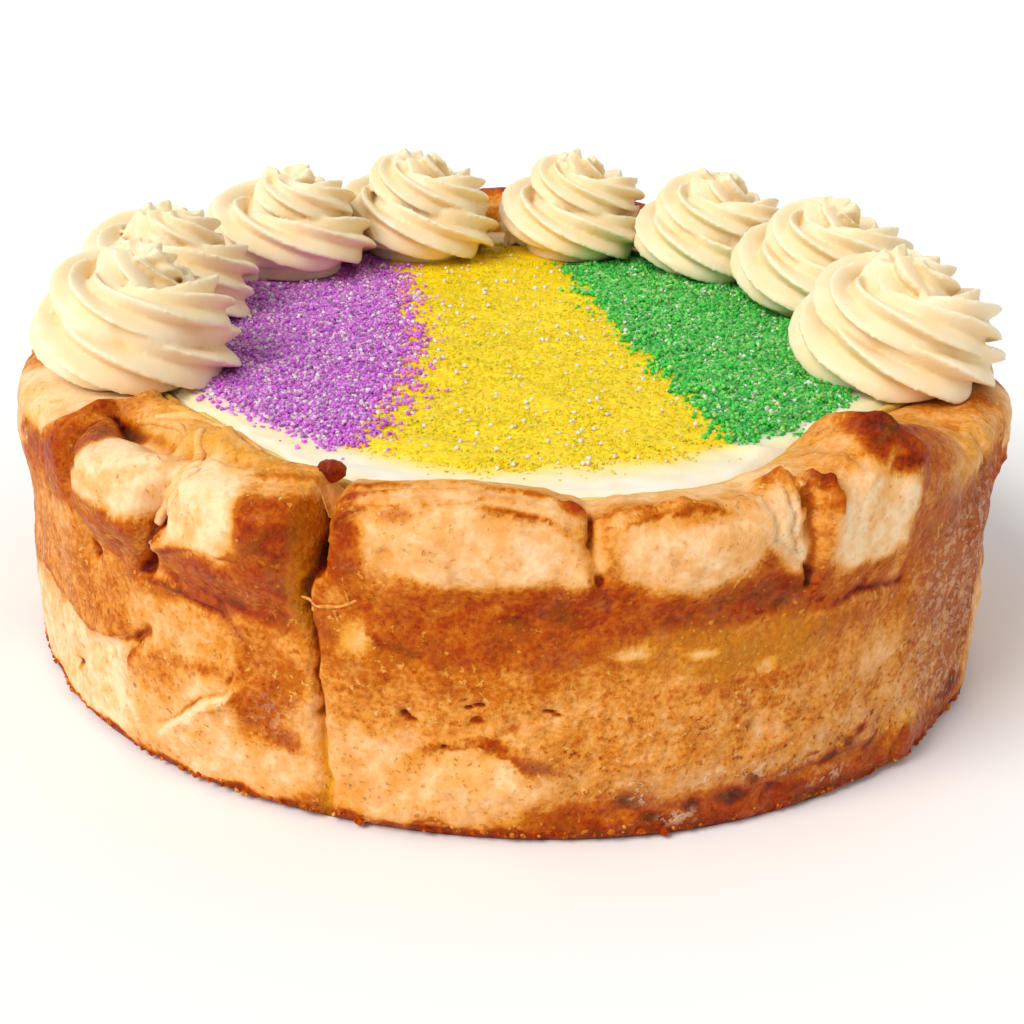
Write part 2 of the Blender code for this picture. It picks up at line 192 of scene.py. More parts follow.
# Folds and creases pressed into the wall: from (angle, height), to (angle, height), half width, depth.
CREASES = (
    (-18.0, 88, -18.9, 57, 2.0, 10.0),
    (-18.9, 58, -19.4, 48, 1.1, 4.4),
    (-19.4, 48, -18.4, 24, 0.8, 3.2),
    (-18.2, 24, -17.9, 0, 1.1, 2.2),
    (-52.0, 70, -49.0, 44, 2.8, 4.6),
    (-50.0, 72, -37.0, 73, 2.6, 2.6),
    (-33.6, 73, -35.6, 60, 2.4, 4.2),
    (-35.6, 60, -39.6, 45.5, 1.7, 3.4),
    (6.4, 88, 6.8, 70, 1.1, 4.4),
    (7.0, 70, 8.6, 60, 1.6, 1.7),
    (8.6, 60, 9.2, 55, 1.8, 0.8),
    (28.8, 78, 30.0, 54, 1.3, 2.2),
    (-14.0, 50, 27.0, 50, 3.4, 0.4),
    (27.0, 50, 44.0, 48.5, 2.2, 0.5),
    (-38.0, 47, -20.0, 44, 2.6, 0.6),
    (-50.0, 19, -40.0, 31, 2.2, 1.6),
    (62.0, 74, 66.5, 42, 2.2, 1.8),
    (92.0, 72, 90.5, 52, 2.6, 2.6),
    (90.5, 52, 88.0, 40, 1.6, 1.4),
    (109.5, 80, 108.0, 57, 1.8, 3.4),
    (108.0, 57, 111.5, 38, 1.4, 1.8),
    (131.0, 80, 128.5, 60, 2.4, 3.4),
    (147.0, 80, 150.5, 56, 1.6, 2.8),
    (150.5, 56, 149.0, 47, 1.2, 1.4),
    (172.0, 84, 170.4, 50, 2.0, 4.0),
    (170.4, 50, 171.6, 8, 1.2, 2.2),
    (-171.0, 84, -168.0, 60, 1.5, 2.6),
    (-152.0, 80, -148.4, 55, 2.2, 3.6),
    (-148.4, 55, -146.0, 49, 1.6, 1.6),
    (-130.0, 80, -127.0, 48, 1.6, 3.2),
    (-127.0, 48, -129.0, 34, 1.2, 1.4),
    (-104.0, 74, -107.0, 50, 2.4, 2.8),
    (-85.5, 70, -82.0, 46, 1.8, 2.0),
    (112.0, 47, 126.0, 44, 2.4, 1.0),
    (-165.0, 46, -152.0, 49, 2.2, 1.0),
    (134.0, 36, 147.0, 22, 2.0, 1.2),
    (-112.0, 30, -98.0, 16, 2.2, 1.2),
    (-170.0, 28, -160.0, 17, 1.8, 1.0),
)
# Finer cracks and ridges on the wall, in the same terms. A depth below nought is a ridge.
CRACKS = (
    (-27.0, 26.5, -30.2, 21, 0.8, -0.7),
    (-30.2, 21, -35.0, 13.5, 0.9, -0.7),
    (-28.6, 27.4, -27.4, 29.4, 0.9, 0.8),
    (-57.5, 9.6, -54.2, 11.0, 1.0, 1.4),
    (-49, 20, -52, 8, 1.6, -0.8),
    (27.0, 74, 27.2, 67, 0.4, 1.0),
    (27.2, 67, 28.2, 62, 0.4, 1.0),
    (28.2, 62, 30.2, 56.6, 0.4, 1.0),
    (24.7, 72, 25.6, 66, 0.6, 1.0),
    (25.6, 66, 29.6, 57, 0.6, 0.9),
    (34.0, 48.6, 44.0, 47.6, 0.5, 0.5),
    (-40.4, 45, -38.6, 49.5, 0.8, 1.0),
    (-9.9, 27.6, -9.0, 26.4, 0.7, 1.6),
    (-3.4, 29.8, -1.6, 30.2, 0.5, 1.3),
    (-3.2, 27.4, -2.4, 27.2, 0.9, 1.1),
    (4.2, 30.6, 5.6, 29.4, 0.5, 1.1),
    (-5.6, 21.6, -4.4, 21.4, 0.6, 1.2),
    (-11.2, 62.4, -10.4, 62.2, 0.6, 1.0),
    (25.7, 24, 26.8, 20, 1.0, 0.7),
    (47.4, 0, 47.2, 6, 0.7, 1.8),
    (47.2, 6, 48.6, 9.6, 0.7, 1.4),
    (41.5, 60, 43.5, 52, 1.0, -0.7),
    (-38.8, 60, -46.5, 48, 2.2, -0.6),
)
# Edges where one sheet of dough overlaps another: a chain of (angle, height), the step, how far it fades.
LEDGES = (
    (((-70, 27), (-62, 26), (-55, 25), (-51, 24), (-46, 26), (-42, 28.5), (-40, 30.5)), 0.9, 7),
    (((-40, 30.5), (-41.5, 26), (-43.4, 20), (-45.4, 15)), 0.8, 6),
    (((-26.6, 27), (-30.2, 21), (-35, 13.5), (-40, 6.5)), 2.6, 5),
    (((-41, 43.2), (-36, 43.6), (-31.6, 43.4), (-28.6, 42), (-27, 38), (-26, 33)), 0.9, 6),
    (((-40, 45.5), (-37.6, 50), (-35.6, 53), (-32.0, 55), (-29, 57.5), (-26, 57)), 0.7, 6),
    (((-13.8, 47), (-12.1, 43.4), (-9.8, 41.7), (-7, 41)), 0.7, 5),
    (((-8, 20), (-5.2, 21.2), (-2.5, 21.4), (1.2, 19.6), (3.6, 15)), 0.7, 4),
    (((-19, 3.2), (-13, 3.2), (-9.5, 2.6), (-6, 4.0), (-4, 2)), 0.9, 4),
    (((28, 10.5), (33, 9.4), (38, 10.2), (45, 12.0)), 0.8, 5),
    (((104, 48), (112, 46), (121, 48), (129, 46), (138, 45), (150, 47)), 1.2, 7),
    (((-178, 50), (-168, 47), (-158, 48), (-146, 45), (-134, 46), (-122, 44)), 1.2, 7),
    (((-116, 43), (-106, 40), (-96, 42), (-86, 40)), 1.0, 7),
)
# The same on the rim, where the second number is how far over the rim the edge lies, from its outside.
RIM_LEDGES = (
    (((-16.4, 1.0), (-15.4, 3.6), (-13.1, 5.8), (-8.1, 6.4), (-3.0, 6.2), (2.2, 4.6), (5.5, 2.0)), 1.7, 4),
    (((-16.4, 6.6), (-14.2, 8.6), (-11.3, 10.2), (-6, 9.8), (-2, 8.6), (3.5, 7.0)), 1.3, 3),
    (((-16.0, 11.0), (-12, 12.6), (-6.8, 12.8), (-0.8, 11.8), (4.8, 10.4)), 1.2, 4),
    (((10.5, 5.0), (13, 7.0), (17, 7.6), (20, 6.0), (22, 3.6)), 0.8, 4),
    (((-40.5, 4.0), (-36.5, 7.0), (-31, 8.5), (-25.0, 9.5), (-19, 12.0)), 1.0, 4),
    (((104, 9), (112, 12), (120, 10), (127, 13)), 1.0, 5),
    (((132, 12), (139, 9), (147, 11)), 1.0, 5),
    (((152, 10), (160, 8), (169, 11)), 1.0, 5),
    (((-166, 12), (-158, 9), (-151, 11)), 1.0, 5),
    (((-146, 10), (-138, 8), (-130, 11)), 1.0, 5),
    (((-126, 9), (-118, 11), (-109, 9)), 1.0, 5),
)
# Ridges and hollows on the rim: from (angle, over), to (angle, over), half width, depth (a ridge below 0).
RIM_FOLDS = (
    (-57.0, 2.0, -53.2, 10.0, 2.0, -1.4),
    (-53.2, 10.0, -52.0, 15.5, 1.8, -1.6),
    (-52.0, 15.5, -46.5, 15.6, 1.6, -1.6),
    (-46.5, 15.6, -34.0, 14.4, 1.5, -1.5),
    (-34.0, 14.4, -19.0, 15.2, 1.4, -1.3),
    (-51.5, 10.6, -40.0, 10.2, 1.9, 4.4),
    (-40.0, 10.2, -34.0, 8.0, 1.6, 3.0),
    (-34.0, 9.8, -28.0, 11.4, 0.9, 1.6),
    (-29.5, 12.4, -22.0, 12.6, 1.0, -1.0),
    (-42.0, 12.6, -31.0, 12.0, 0.8, -0.9),
    (25.2, 13.2, 27.4, 12.2, 1.1, -1.4),
    (27.4, 12.2, 29.6, 8.6, 1.2, -1.4),
    (29.6, 8.6, 31.2, 8.0, 1.3, -1.8),
    (31.2, 8.0, 31.6, 0.0, 1.0, -1.2),
    (28.4, 10.4, 28.6, 3.0, 0.8, 1.6),
    (33.0, 12.6, 39.4, 13.0, 1.2, -0.9),
    (40.2, 12.4, 44.6, 4.0, 1.2, -1.0),
    (40.6, 12.8, 50.0, 11.0, 1.2, -0.8),
    (34.2, 12.0, 36.2, 3.0, 1.0, -0.8),
    (7.3, 0.0, 7.0, 14.0, 0.9, 2.6),
    (-18.2, 0.0, -18.0, 22.0, 2.0, 2.6),
    (5.2, 10.2, 6.4, 9.0, 1.1, -1.2),
    (12.0, 9.6, 15.5, 10.2, 1.4, -1.2),
    (15.5, 10.2, 18.5, 8.6, 1.2, -0.9),
    (57.0, 6.0, 66.0, 14.0, 2.4, 1.0),
)
FINE_NOISE = 0.16
LUMP_NOISE = 0.55
# How much closer the columns of points stand at the front, in degrees.
FRONT_CROWDING = 24.0


def curve(points, angle):
    """A smooth run through (angle, value) points: level at each one, with no overshoot between them."""
    angles = np.array([p[0] for p in points], float)
    values = np.array([p[1] for p in points], float)
    a = (np.asarray(angle, float) + 180.0) % 360.0 - 180.0
    i = np.clip(np.searchsorted(angles, a, side="right") - 1, 0, len(angles) - 2)
    t = (a - angles[i]) / (angles[i + 1] - angles[i])
    t = 0.35 * t + 0.65 * t * t * (3 - 2 * t)
    return values[i] * (1 - t) + values[i + 1] * t


def turn(a, b):
    """Signed angle from b to a, in degrees."""
    return (np.asarray(a, float) - b + 180.0) % 360.0 - 180.0


def step(x, low, high):
    t = np.clip((np.asarray(x, float) - low) / (high - low), 0, 1)
    return t * t * (3 - 2 * t)


ARC = math.radians(1) * WALL_RADIUS


def from_line(angle, z, line):
    """How far points lie from a line on the unrolled wall, and on which side of it (above is positive)."""
    a0, z0, a1, z1 = line
    x = turn(angle, a0) * ARC
    dx = (a1 - a0) * ARC
    dz = z1 - z0
    along = (x * dx + (z - z0) * dz) / (dx * dx + dz * dz)
    held = np.clip(along, 0, 1)
    away = np.hypot(x - held * dx, (z - z0) - held * dz)
    side = np.sign(dx * (z - z0) - dz * x)
    return away, side, along


def pressed(angle, z, folds):
    """The sum of a list of creases and ridges at each point."""
    out = np.zeros(len(angle))
    for a0, z0, a1, z1, width, depth in folds:
        away = from_line(angle, z, (a0, z0, a1, z1))[0]
        out = out - depth * np.exp(-((away / width) ** 2))
    return out


def overlapped(angle, z, ledges):
    """How far the dough stands out above each ledge and falls back below it, and where the lips are."""
    out = np.zeros(len(angle))
    lips = np.zeros(len(angle))
    for chain, rise, fade in ledges:
        nearest = np.full(len(angle), 1e9)
        above = np.zeros(len(angle))
        inside = np.zeros(len(angle))
        last = len(chain) - 2
        for n, (start, end) in enumerate(zip(chain, chain[1:])):
            away, side, along = from_line(angle, z, (*start, *end))
            closer = away < nearest
            nearest = np.where(closer, away, nearest)
            above = np.where(closer, side, above)
            ends = np.ones(len(angle))
            if n == 0:
                ends = ends * step(along, -0.15, 0.5)
            if n == last:
                ends = ends * (1 - step(along, 0.5, 1.15))
            inside = np.where(closer, ends, inside)
        lifted = step(above * nearest, -0.45, 0.45) - 0.5
        out = out + rise * lifted * np.exp(-nearest / fade) * inside
        lips = np.maximum(lips, inside * (above > 0) * np.exp(-((nearest / 1.1) ** 2)))
    return out, lips


def wall_relief(angle, z):
    """How far the wall's dough stands out or is pressed in, in millimetres."""
    out = pressed(angle, z, CREASES)
    for a0, z0, wide, high, rise, square in PILLOWS:
        reach = np.abs(turn(angle, a0) / wide) ** square + np.abs((z - z0) / high) ** square
        out = out + rise * np.exp(-reach)
    return out


def wall_radius(angle, z, relief):
    flare = BASE_RADIUS + (WALL_RADIUS - BASE_RADIUS) * step(z, -10, 62)
    return flare + curve(OUT_OF_ROUND, angle) * step(z, -20, 60) + relief


def stood(radius, angle, z):
    """Points in metres from radii and heights in millimetres and angles from the front."""
    t = np.radians(angle)
    return np.stack([radius * np.sin(t), -radius * np.cos(t), z], 1) * MM


def wrapped(columns, rows):
    """A grid of quads with its numbers of column and row, ready to be rolled round the cake."""
    bm = bmesh.new()
    bmesh.ops.create_grid(bm, x_segments=columns, y_segments=rows, size=0.5)
    mesh = bpy.data.meshes.new("sheet")
    bm.to_mesh(mesh)
    bm.free()
    flat = places(mesh)
    return mesh, np.round((flat[:, 0] + 0.5) * columns), np.round((flat[:, 1] + 0.5) * rows)


def places(mesh):
    found = np.empty(len(mesh.vertices) * 3, np.float32)
    mesh.vertices.foreach_get("co", found)
    return found.reshape(-1, 3).astype(float)


def put(mesh, spots):
    mesh.vertices.foreach_set("co", np.asarray(spots, np.float32).ravel())
    mesh.update()


def noted(mesh, name, values):
    """Keeps one number for each point of a mesh, for its material to read."""
    layer = mesh.attributes.get(name) or mesh.attributes.new(name, "FLOAT", "POINT")
    layer.data.foreach_set("value", np.asarray(values, np.float32))


def read(mesh, name):
    values = np.empty(len(mesh.vertices), np.float32)
    mesh.attributes[name].data.foreach_get("value", values)
    return values.astype(float)


def sealed(mesh):
    """Closes the seam and the poles of a rolled sheet, and turns its faces outward."""
    bm = bmesh.new()
    bm.from_mesh(mesh)
    bmesh.ops.remove_doubles(bm, verts=bm.verts, dist=1e-6)
    bmesh.ops.dissolve_degenerate(bm, dist=1e-7, edges=bm.edges)
    bmesh.ops.recalc_face_normals(bm, faces=bm.faces)
    if bm.calc_volume(signed=True) < 0:
        bmesh.ops.reverse_faces(bm, faces=bm.faces)
    bm.to_mesh(mesh)
    bm.free()
    mesh.shade_smooth()


def roughened(spots, size, layers, seed):
    """Fractal noise at points in metres, about -1 to 1. Size is in millimetres."""
    shift = Vector((seed * 17.3, seed * 5.1, seed * 9.7))
    scale = 1 / (size * MM)
    return np.array([noise.fractal(Vector(p) * scale + shift, 1.0, 2.1, layers) for p in spots])


def hollowness(mesh, rounds):
    """How far each point lies below its smoothed surroundings, in millimetres: hollows are positive."""
    spots = places(mesh)
    ends = np.empty(len(mesh.edges) * 2, np.int32)
    mesh.edges.foreach_get("vertices", ends)
    a, b = ends.reshape(-1, 2).T
    count = np.bincount(a, minlength=len(spots)) + np.bincount(b, minlength=len(spots))
    soft = spots.copy()
    for _ in range(rounds):
        total = [
            np.bincount(a, soft[b, axis], len(spots)) + np.bincount(b, soft[a, axis], len(spots))
            for axis in range(3)
        ]
        soft = 0.5 * soft + 0.5 * np.stack(total, 1) / count[:, None]
    normals = np.empty(len(spots) * 3, np.float32)
    mesh.vertex_normals.foreach_get("vector", normals)
    return ((soft - spots) * normals.reshape(-1, 3)).sum(1) / MM


def shown(mesh, name, finish):
    """The mesh as a piece that rides on the cake, with its finish."""
    mesh.name = name
    mesh.materials.append(finish)
    made = bpy.data.objects.new(name, mesh)
    bpy.context.scene.collection.objects.link(made)
    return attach(made, "root")


sheet, column, line = wrapped(CASE_COLUMNS, WALL_ROWS + RIM_ROWS + 6)
round_angle = column / CASE_COLUMNS * 360 - 180
angle = round_angle - FRONT_CROWDING * np.sin(np.radians(round_angle))
# Lines 0 and 1 are the underside, the next ones climb the wall and cross the rim, and the last ones
# go down inside.
row = np.clip(line - 2, 0, WALL_ROWS) / WALL_ROWS + np.clip(line - 2 - WALL_ROWS, 0, RIM_ROWS) / RIM_ROWS
crest = curve(CREST, angle)
shoulder = crest - SHOULDER
inner = curve(INNER_RADIUS, angle)
peak = curve(CREST_RADIUS, angle)
across = np.pi * np.clip(row - 1, 0, 1)
low = np.where(across < np.pi / 2, shoulder, np.minimum(ICING_PLANE - 0.8, crest - 1.0))
climb = FOOT_ROUND + (shoulder - FOOT_ROUND) * row
z = np.where(row <= 1, climb, low + (crest - low) * np.sin(across) ** 0.8)
side = np.cos(across)
# Every fold is looked up a little to one side of its true place, so that none of them runs straight.
plain = stood(np.where(row <= 1, WALL_RADIUS, peak), angle, z)
stray_angle = angle + 0.75 * roughened(plain, 9.0, 3, 5)
stray = 1.5 * roughened(plain, 9.0, 3, 6)
stray_height = z + stray
stray_over = RIM_ARC * np.clip(row - 1, 0, 1) + 0.5 * stray
outer = wall_radius(angle, shoulder, wall_relief(stray_angle, shoulder + stray))
rim = np.where(side > 0, peak + (outer - peak) * side, peak + (peak - inner) * side)
notch = wall_relief(stray_angle, np.minimum(stray_height, 74)) * np.maximum(side, 0) * 0.4
rim = rim + np.minimum(notch, 0)
radius = np.where(row <= 1, wall_radius(angle, z, wall_relief(stray_angle, stray_height)), rim)

outside = 1 - step(row, 1.34, 1.5)
on_rim = step(row, 1.0, 1.06) * (1 - step(row, 1.9, 2.0))
wall_ledges, wall_lips = overlapped(stray_angle, stray_height, LEDGES)
rim_ledges, rim_lips = overlapped(stray_angle, stray_over, RIM_LEDGES)
wall_detail = (pressed(stray_angle, stray_height, CRACKS) + wall_ledges) * outside
rim_detail = (pressed(stray_angle, stray_over, RIM_FOLDS) + rim_ledges) * on_rim
lip = np.maximum(wall_lips * outside, rim_lips * on_rim)
skin = stood(radius, angle, z)
lumps = roughened(skin, 9.0, 4, 1)
fine = roughened(skin, 2.6, 3, 2)
waves = roughened(skin, 24.0, 2, 7)
torn = step(turn(angle, 50), 0, 8) * (1 - step(turn(angle, 76), 0, 8))
torn = torn * step(z, 8, 18) * (1 - step(z, 60, 66))
low_wall = (1 - step(z, 26, 38)) * step(turn(angle, -14), 0, 6) * (1 - step(turn(angle, 60), 0, 14))
streaks = roughened(skin * np.array([1, 1, 0.22]), 3.2, 4, 3)
foot = 1 - step(z, 1.0, 4.4)
grit = roughened(skin, 1.5, 3, 4)
bump = waves * 0.8 * outside + lumps * LUMP_NOISE * (0.5 + 0.5 * outside)
bump = bump + fine * (FINE_NOISE + 0.2 * low_wall + 0.2 * torn) + streaks * torn
bump = bump + foot * (grit * 0.8 - 0.5)
detail = wall_detail + rim_detail + bump * np.where(line < 2, 0, 1) * (1 - step(row, 1.94, 2.0))
radius = radius + detail * np.where(row <= 1, 1, side)
z = z + detail * np.where(row <= 1, 0, np.sin(across))
radius = np.where(line == 1, FOOT_RADIUS + 0.4 * np.sin(np.radians(5 * angle)), radius)
radius = np.where(line == 0, 0, radius)
z = np.where(line <= 1, 0, z)
inside_line = line - (WALL_ROWS + RIM_ROWS + 2)
radius = np.select(
    [inside_line == 1, inside_line == 2, inside_line == 3, inside_line == 4],
    [inner - 0.4, inner - 1.5, inner * 0.5, inner * 0],
    radius,
)
z = np.select([inside_line == 1, inside_line >= 2], [ICING_PLANE - 4, FLOOR], z)
put(sheet, stood(radius, angle, z))
kept = {
    "angle": stray_angle,
    "row": row,
    "height": stray_height,
    "over": stray_over,
    "lip": lip,
    "stray": stray,
}
for name, values in kept.items():
    noted(sheet, name, values)
sealed(sheet)

# How the dough is coloured. Each patch pulls one quality towards a value: quality, angle, height, half width
# and half height in millimetres, lean in degrees, value, strength. Toast runs from raw (0) to scorched (1).
WALL_PATCHES = (
    ("toast", -62, 38, 40, 15, 0, 0.40, 0.9),
    ("toast", -53, 46, 22, 6, 0, 0.33, 0.8),
    ("toast", -60, 12, 36, 12, 0, 0.08, 0.95),
    ("toast", -46.0, 15, 9, 12, -12, 0.03, 0.95),
    ("toast", -55.4, 10.4, 3, 1.6, 10, 0.46, 0.9),
    ("toast", -36.4, 23, 14, 7, 0, 0.31, 0.95),
    ("toast", -31, 10, 23, 7.4, 0, 0.16, 0.95),
    ("toast", -36, 36, 16, 6.4, 0, 0.26, 0.95),
    ("toast", -30.5, 48, 21, 5.6, 0, 0.60, 0.95),
    ("toast", -36.5, 47, 7, 2.6, 30, 0.40, 0.8),
    ("gloss", -30, 49, 22, 7, 0, 1.0, 0.9),
    ("toast", -22.4, 52, 6.4, 12, 0, 0.58, 0.95),
    ("toast", -23.6, 28, 7.2, 12, 0, 0.46, 0.9),
    ("toast", -22.4, 16.4, 4.6, 2.6, 0, 0.64, 0.9),
    ("toast", -24.6, 24, 5.5, 9, 0, 0.58, 0.8),
    ("dry", -23, 22, 5, 6, 0, 0.45, 0.6),
    ("toast", -32, 29.4, 8, 1.6, 4, 0.48, 0.8),
    ("toast", -38.2, 25.2, 5, 3, 0, 0.40, 0.7),
    ("toast", -31.4, 22.6, 7.5, 3.4, 42, 0.12, 0.95),
    ("raw", -31.4, 22.6, 6.5, 3.0, 42, 0.22, 0.8),
    # Along the ridge low on the left: the darker line just above it is a painted shadow, and the pale line on
    # the ridge is a painted highlight.
    ("toast", -32.2, 20.0, 15, 0.7, 37, 0.36, 0.8),
    ("toast", -33.4, 16.6, 15, 1.0, 37, 0.0, 1.0),
    ("toast", -41.6, 53.4, 11.5, 6.6, 0, 0.46, 0.95),
    ("dust", -41.6, 53, 10, 5, 0, 0.35, 0.8),
    ("toast", -41, 67.6, 11, 8.0, 0, 0.07, 1.0),
    ("toast", -48.4, 63, 2.8, 8, -14, 0.52, 0.9),
    ("dust", -48.4, 63, 2.8, 8, -14, 0.7, 0.9),
    ("toast", -52.6, 60, 3.4, 10, -24, 0.50, 0.95),
    ("toast", -57.5, 53, 9, 3.4, 34, 0.50, 0.9),
    ("toast", -30.8, 65.4, 11.2, 9.6, 0, 0.06, 1.0),
    ("toast", -36.9, 51, 8.5, 1.4, 46, 0.12, 0.9),
    ("toast", -22.2, 65.6, 4.6, 5.4, 0, 0.58, 0.9),
    ("toast", -22.0, 72.2, 6, 1.6, 0, 0.20, 0.9),
    ("raw", -19.9, 51, 1.6, 13, 0, 0.4, 0.9),
    ("gloss", -19.9, 52, 2.6, 13, 0, 1.0, 0.9),
    ("raw", -18.0, 12, 1.1, 13, 0, 0.9, 0.95),
    ("toast", 4, 44.5, 46, 5.6, 0, 0.60, 0.95),
    ("toast", 28, 42.6, 36, 5, 0, 0.54, 0.9),
    ("raw", 23, 42, 26, 5.6, 0, 0.38, 0.9),
    ("gloss", 20, 43, 36, 6, 0, 0.7, 0.9),
    ("toast", -4, 35, 30, 4.6, 0, 0.47, 0.95),
    ("toast", 26, 34, 34, 4.0, 0, 0.44, 0.9),
    ("toast", 14, 25, 64, 8.4, 0, 0.36, 0.95),
    ("toast", -13, 14, 10, 11, 0, 0.18, 0.95),
    ("toast", -4, 66.0, 22.6, 8.8, 0, 0.15, 1.0),
    ("toast", -3, 73.4, 15, 2.2, 0, 0.22, 0.8),
    ("toast", -15.0, 61, 3.0, 10, -6, 0.62, 0.95),
    ("toast", 6.0, 62, 2.8, 5, 0, 0.05, 0.9),
    ("toast", -7.5, 53.0, 13, 4.4, 0, 0.58, 0.95),
    ("toast", 4.4, 53.2, 12, 4.4, 0, 0.70, 0.95),
    ("toast", 17, 64.6, 15.6, 8.2, 0, 0.14, 1.0),
    ("toast", 15.6, 71.6, 9, 2.2, 0, 0.30, 0.9),
    ("toast", 8.3, 64, 1.8, 5, 0, 0.10, 0.8),
    ("raw", 8.3, 64, 1.8, 5, 0, 0.3, 0.8),
    ("toast", 26, 53.8, 14.5, 4.2, 0, 0.78, 0.95),
    ("toast", 13.4, 52.4, 10, 2.6, 0, 0.66, 0.95),
    ("toast", 24.6, 60, 4, 3, 30, 0.60, 0.8),
    ("toast", 27.3, 64.2, 8.4, 3.6, -58, 0.02, 1.0),
    ("toast", 30.8, 66, 2.0, 9, 0, 0.42, 0.9),
    ("toast", 37.4, 65.6, 12.4, 10.6, 0, 0.04, 1.0),
    ("toast", 47, 62, 8.4, 12, 0, 0.52, 0.95),
    ("toast", 49, 74, 8, 3, -30, 0.36, 0.8),
    ("dust", 50, 60, 9, 10, 0, 0.6, 0.8),
    ("toast", 36, 52.4, 13, 2.8, 0, 0.56, 0.95),
    ("toast", 36, 48.6, 18, 1.2, 0, 0.66, 0.9),
    ("toast", 40.6, 78.6, 7.5, 5.0, 0, 0.78, 1.0),
    ("toast", 10, 49.4, 52, 1.6, 0, 0.64, 0.8),
    ("toast", -14.5, 43.6, 3.6, 4.0, 0, 0.20, 0.95),
    ("raw", -14.5, 43.0, 3.4, 3.6, 0, 0.5, 0.9),
    ("toast", 12.0, 43.6, 4.0, 1.6, 0, 0.18, 0.9),
    ("toast", 19.4, 41.8, 3.8, 1.2, 0, 0.10, 0.9),
    ("toast", 26.4, 38.2, 2.2, 1.8, 0, 0.16, 0.9),
    ("toast", 26.2, 22.0, 1.3, 2.8, 10, 0.12, 0.9),
    ("toast", 41, 31.5, 4.4, 4, 0, 0.20, 0.8),
    ("spice", 24, 22, 60, 12, 0, 0.9, 0.9),
    ("spice", 38, 16, 24, 6, 0, 1.6, 0.9),
    ("toast", -2.4, 12.4, 12.4, 8.4, 0, 0.19, 1.0),
    ("raw", -2.4, 12.4, 12.4, 8.4, 0, 0.16, 0.9),
    ("toast", -1.0, 22.8, 4.0, 1.1, -10, 0.66, 0.9),
    ("toast", 3.4, 18.6, 4.4, 1.3, -20, 0.68, 0.9),
    ("dust", 6, 17, 8, 3, -20, 0.7, 0.9),
    ("toast", 27, 6.4, 45, 5.0, 0, 0.47, 0.95),
    ("toast", 7, 5.4, 6, 2.4, 10, 0.56, 0.9),
    ("toast", 11, 2.4, 9, 1.6, 0, 0.62, 0.9),
    ("toast", 22.4, 3.4, 9, 2.4, -6, 0.60, 0.9),
    ("toast", 30, 6.0, 8, 2.2, 8, 0.64, 0.9),
    ("toast", 38, 3, 18, 2.4, 0, 0.66, 0.9),
    ("toast", 43.6, 6.6, 6, 2.6, 20, 0.50, 0.9),
    ("toast", 36.4, 8.8, 9, 1.2, 3, 0.32, 0.8),
    ("toast", 36.6, 10.4, 2.4, 1.4, 12, 0.90, 1.0),
    ("toast", 40.8, 15.4, 1.6, 1.0, 30, 0.92, 1.0),
    ("toast", 26.6, 10.6, 1.6, 0.8, 0, 0.90, 1.0),
    ("dust", 18, 11.5, 22, 5, 0, 0.7, 0.8),
    ("dust", 40, 15.5, 20, 5, 4, 0.7, 0.9),
    ("toast", 13.2, 9.6, 2.6, 2.2, 0, 0.80, 1.0),
    ("toast", 15.6, 5.6, 3.0, 1.6, 0, 0.86, 1.0),
    ("toast", 19.6, 7.2, 1.8, 1.4, 0, 0.88, 1.0),
    ("toast", 24.2, 7.6, 3.8, 1.5, 0, 0.96, 1.0),
    ("toast", 29.0, 8.0, 2.0, 1.1, 0, 0.86, 1.0),
    ("toast", 39.2, 13.0, 1.8, 1.1, -10, 0.98, 1.0),
    ("toast", 42.9, 11.2, 1.5, 1.2, 20, 0.96, 1.0),
    ("toast", 34.0, 13.4, 1.8, 0.7, 0, 0.80, 0.9),
    ("dry", 14.6, 11.6, 2.6, 3.0, 0, 1.0, 0.9),
    ("dry", 18.4, 4.6, 4.0, 2.0, 0, 1.0, 0.9),
    ("dry", 27.0, 12.4, 5.0, 2.4, 10, 0.9, 0.9),
    ("dry", 37.0, 6.4, 5.0, 1.4, 8, 0.8, 0.9),
    ("dry", 21.6, 12.6, 3.6, 1.6, 0, 0.9, 0.9),
    ("dry", 31.6, 11.4, 6.4, 1.3, 4, 1.0, 0.9),
    ("dry", 46.0, 16.4, 4.0, 1.0, 20, 0.8, 0.9),
    ("toast", 59, 36, 24, 26, 0, 0.56, 0.9),
    ("toast", 52, 26, 8, 9, 0, 0.36, 0.7),
    ("dust", 60, 38, 24, 26, 0, 0.65, 0.9),
    ("dry", 60, 34, 26, 28, 0, 0.6, 0.9),
    ("spice", 60, 32, 26, 28, 0, 1.0, 0.9),
    ("dry", 62, 13, 8, 1.6, -14, 1.0, 0.9),
    ("toast", 62, 9, 8, 2.6, 0, 0.84, 0.9),
    ("toast", 56, 4.6, 16, 4.6, 0, 0.58, 0.9),
    ("gloss", 49.6, 7, 7, 6, 0, 1.0, 0.9),
    ("toast", 50.0, 6.6, 6, 4.6, 0, 0.50, 0.9),
    ("raw", 48.8, 12.0, 3.4, 1.8, 0, 0.7, 0.9),
    ("toast", -64, 66, 16, 6, 0, 0.03, 0.9),
    ("raw", -66, 66, 9, 5, 0, 0.3, 0.8),
    ("toast", 62, 69, 24, 7, 0, 0.27, 0.95),
    ("raw", 60, 68, 20, 6, 0, 0.4, 0.8),
    ("toast", 71, 64, 8, 5, 0, 0.42, 0.8),
)
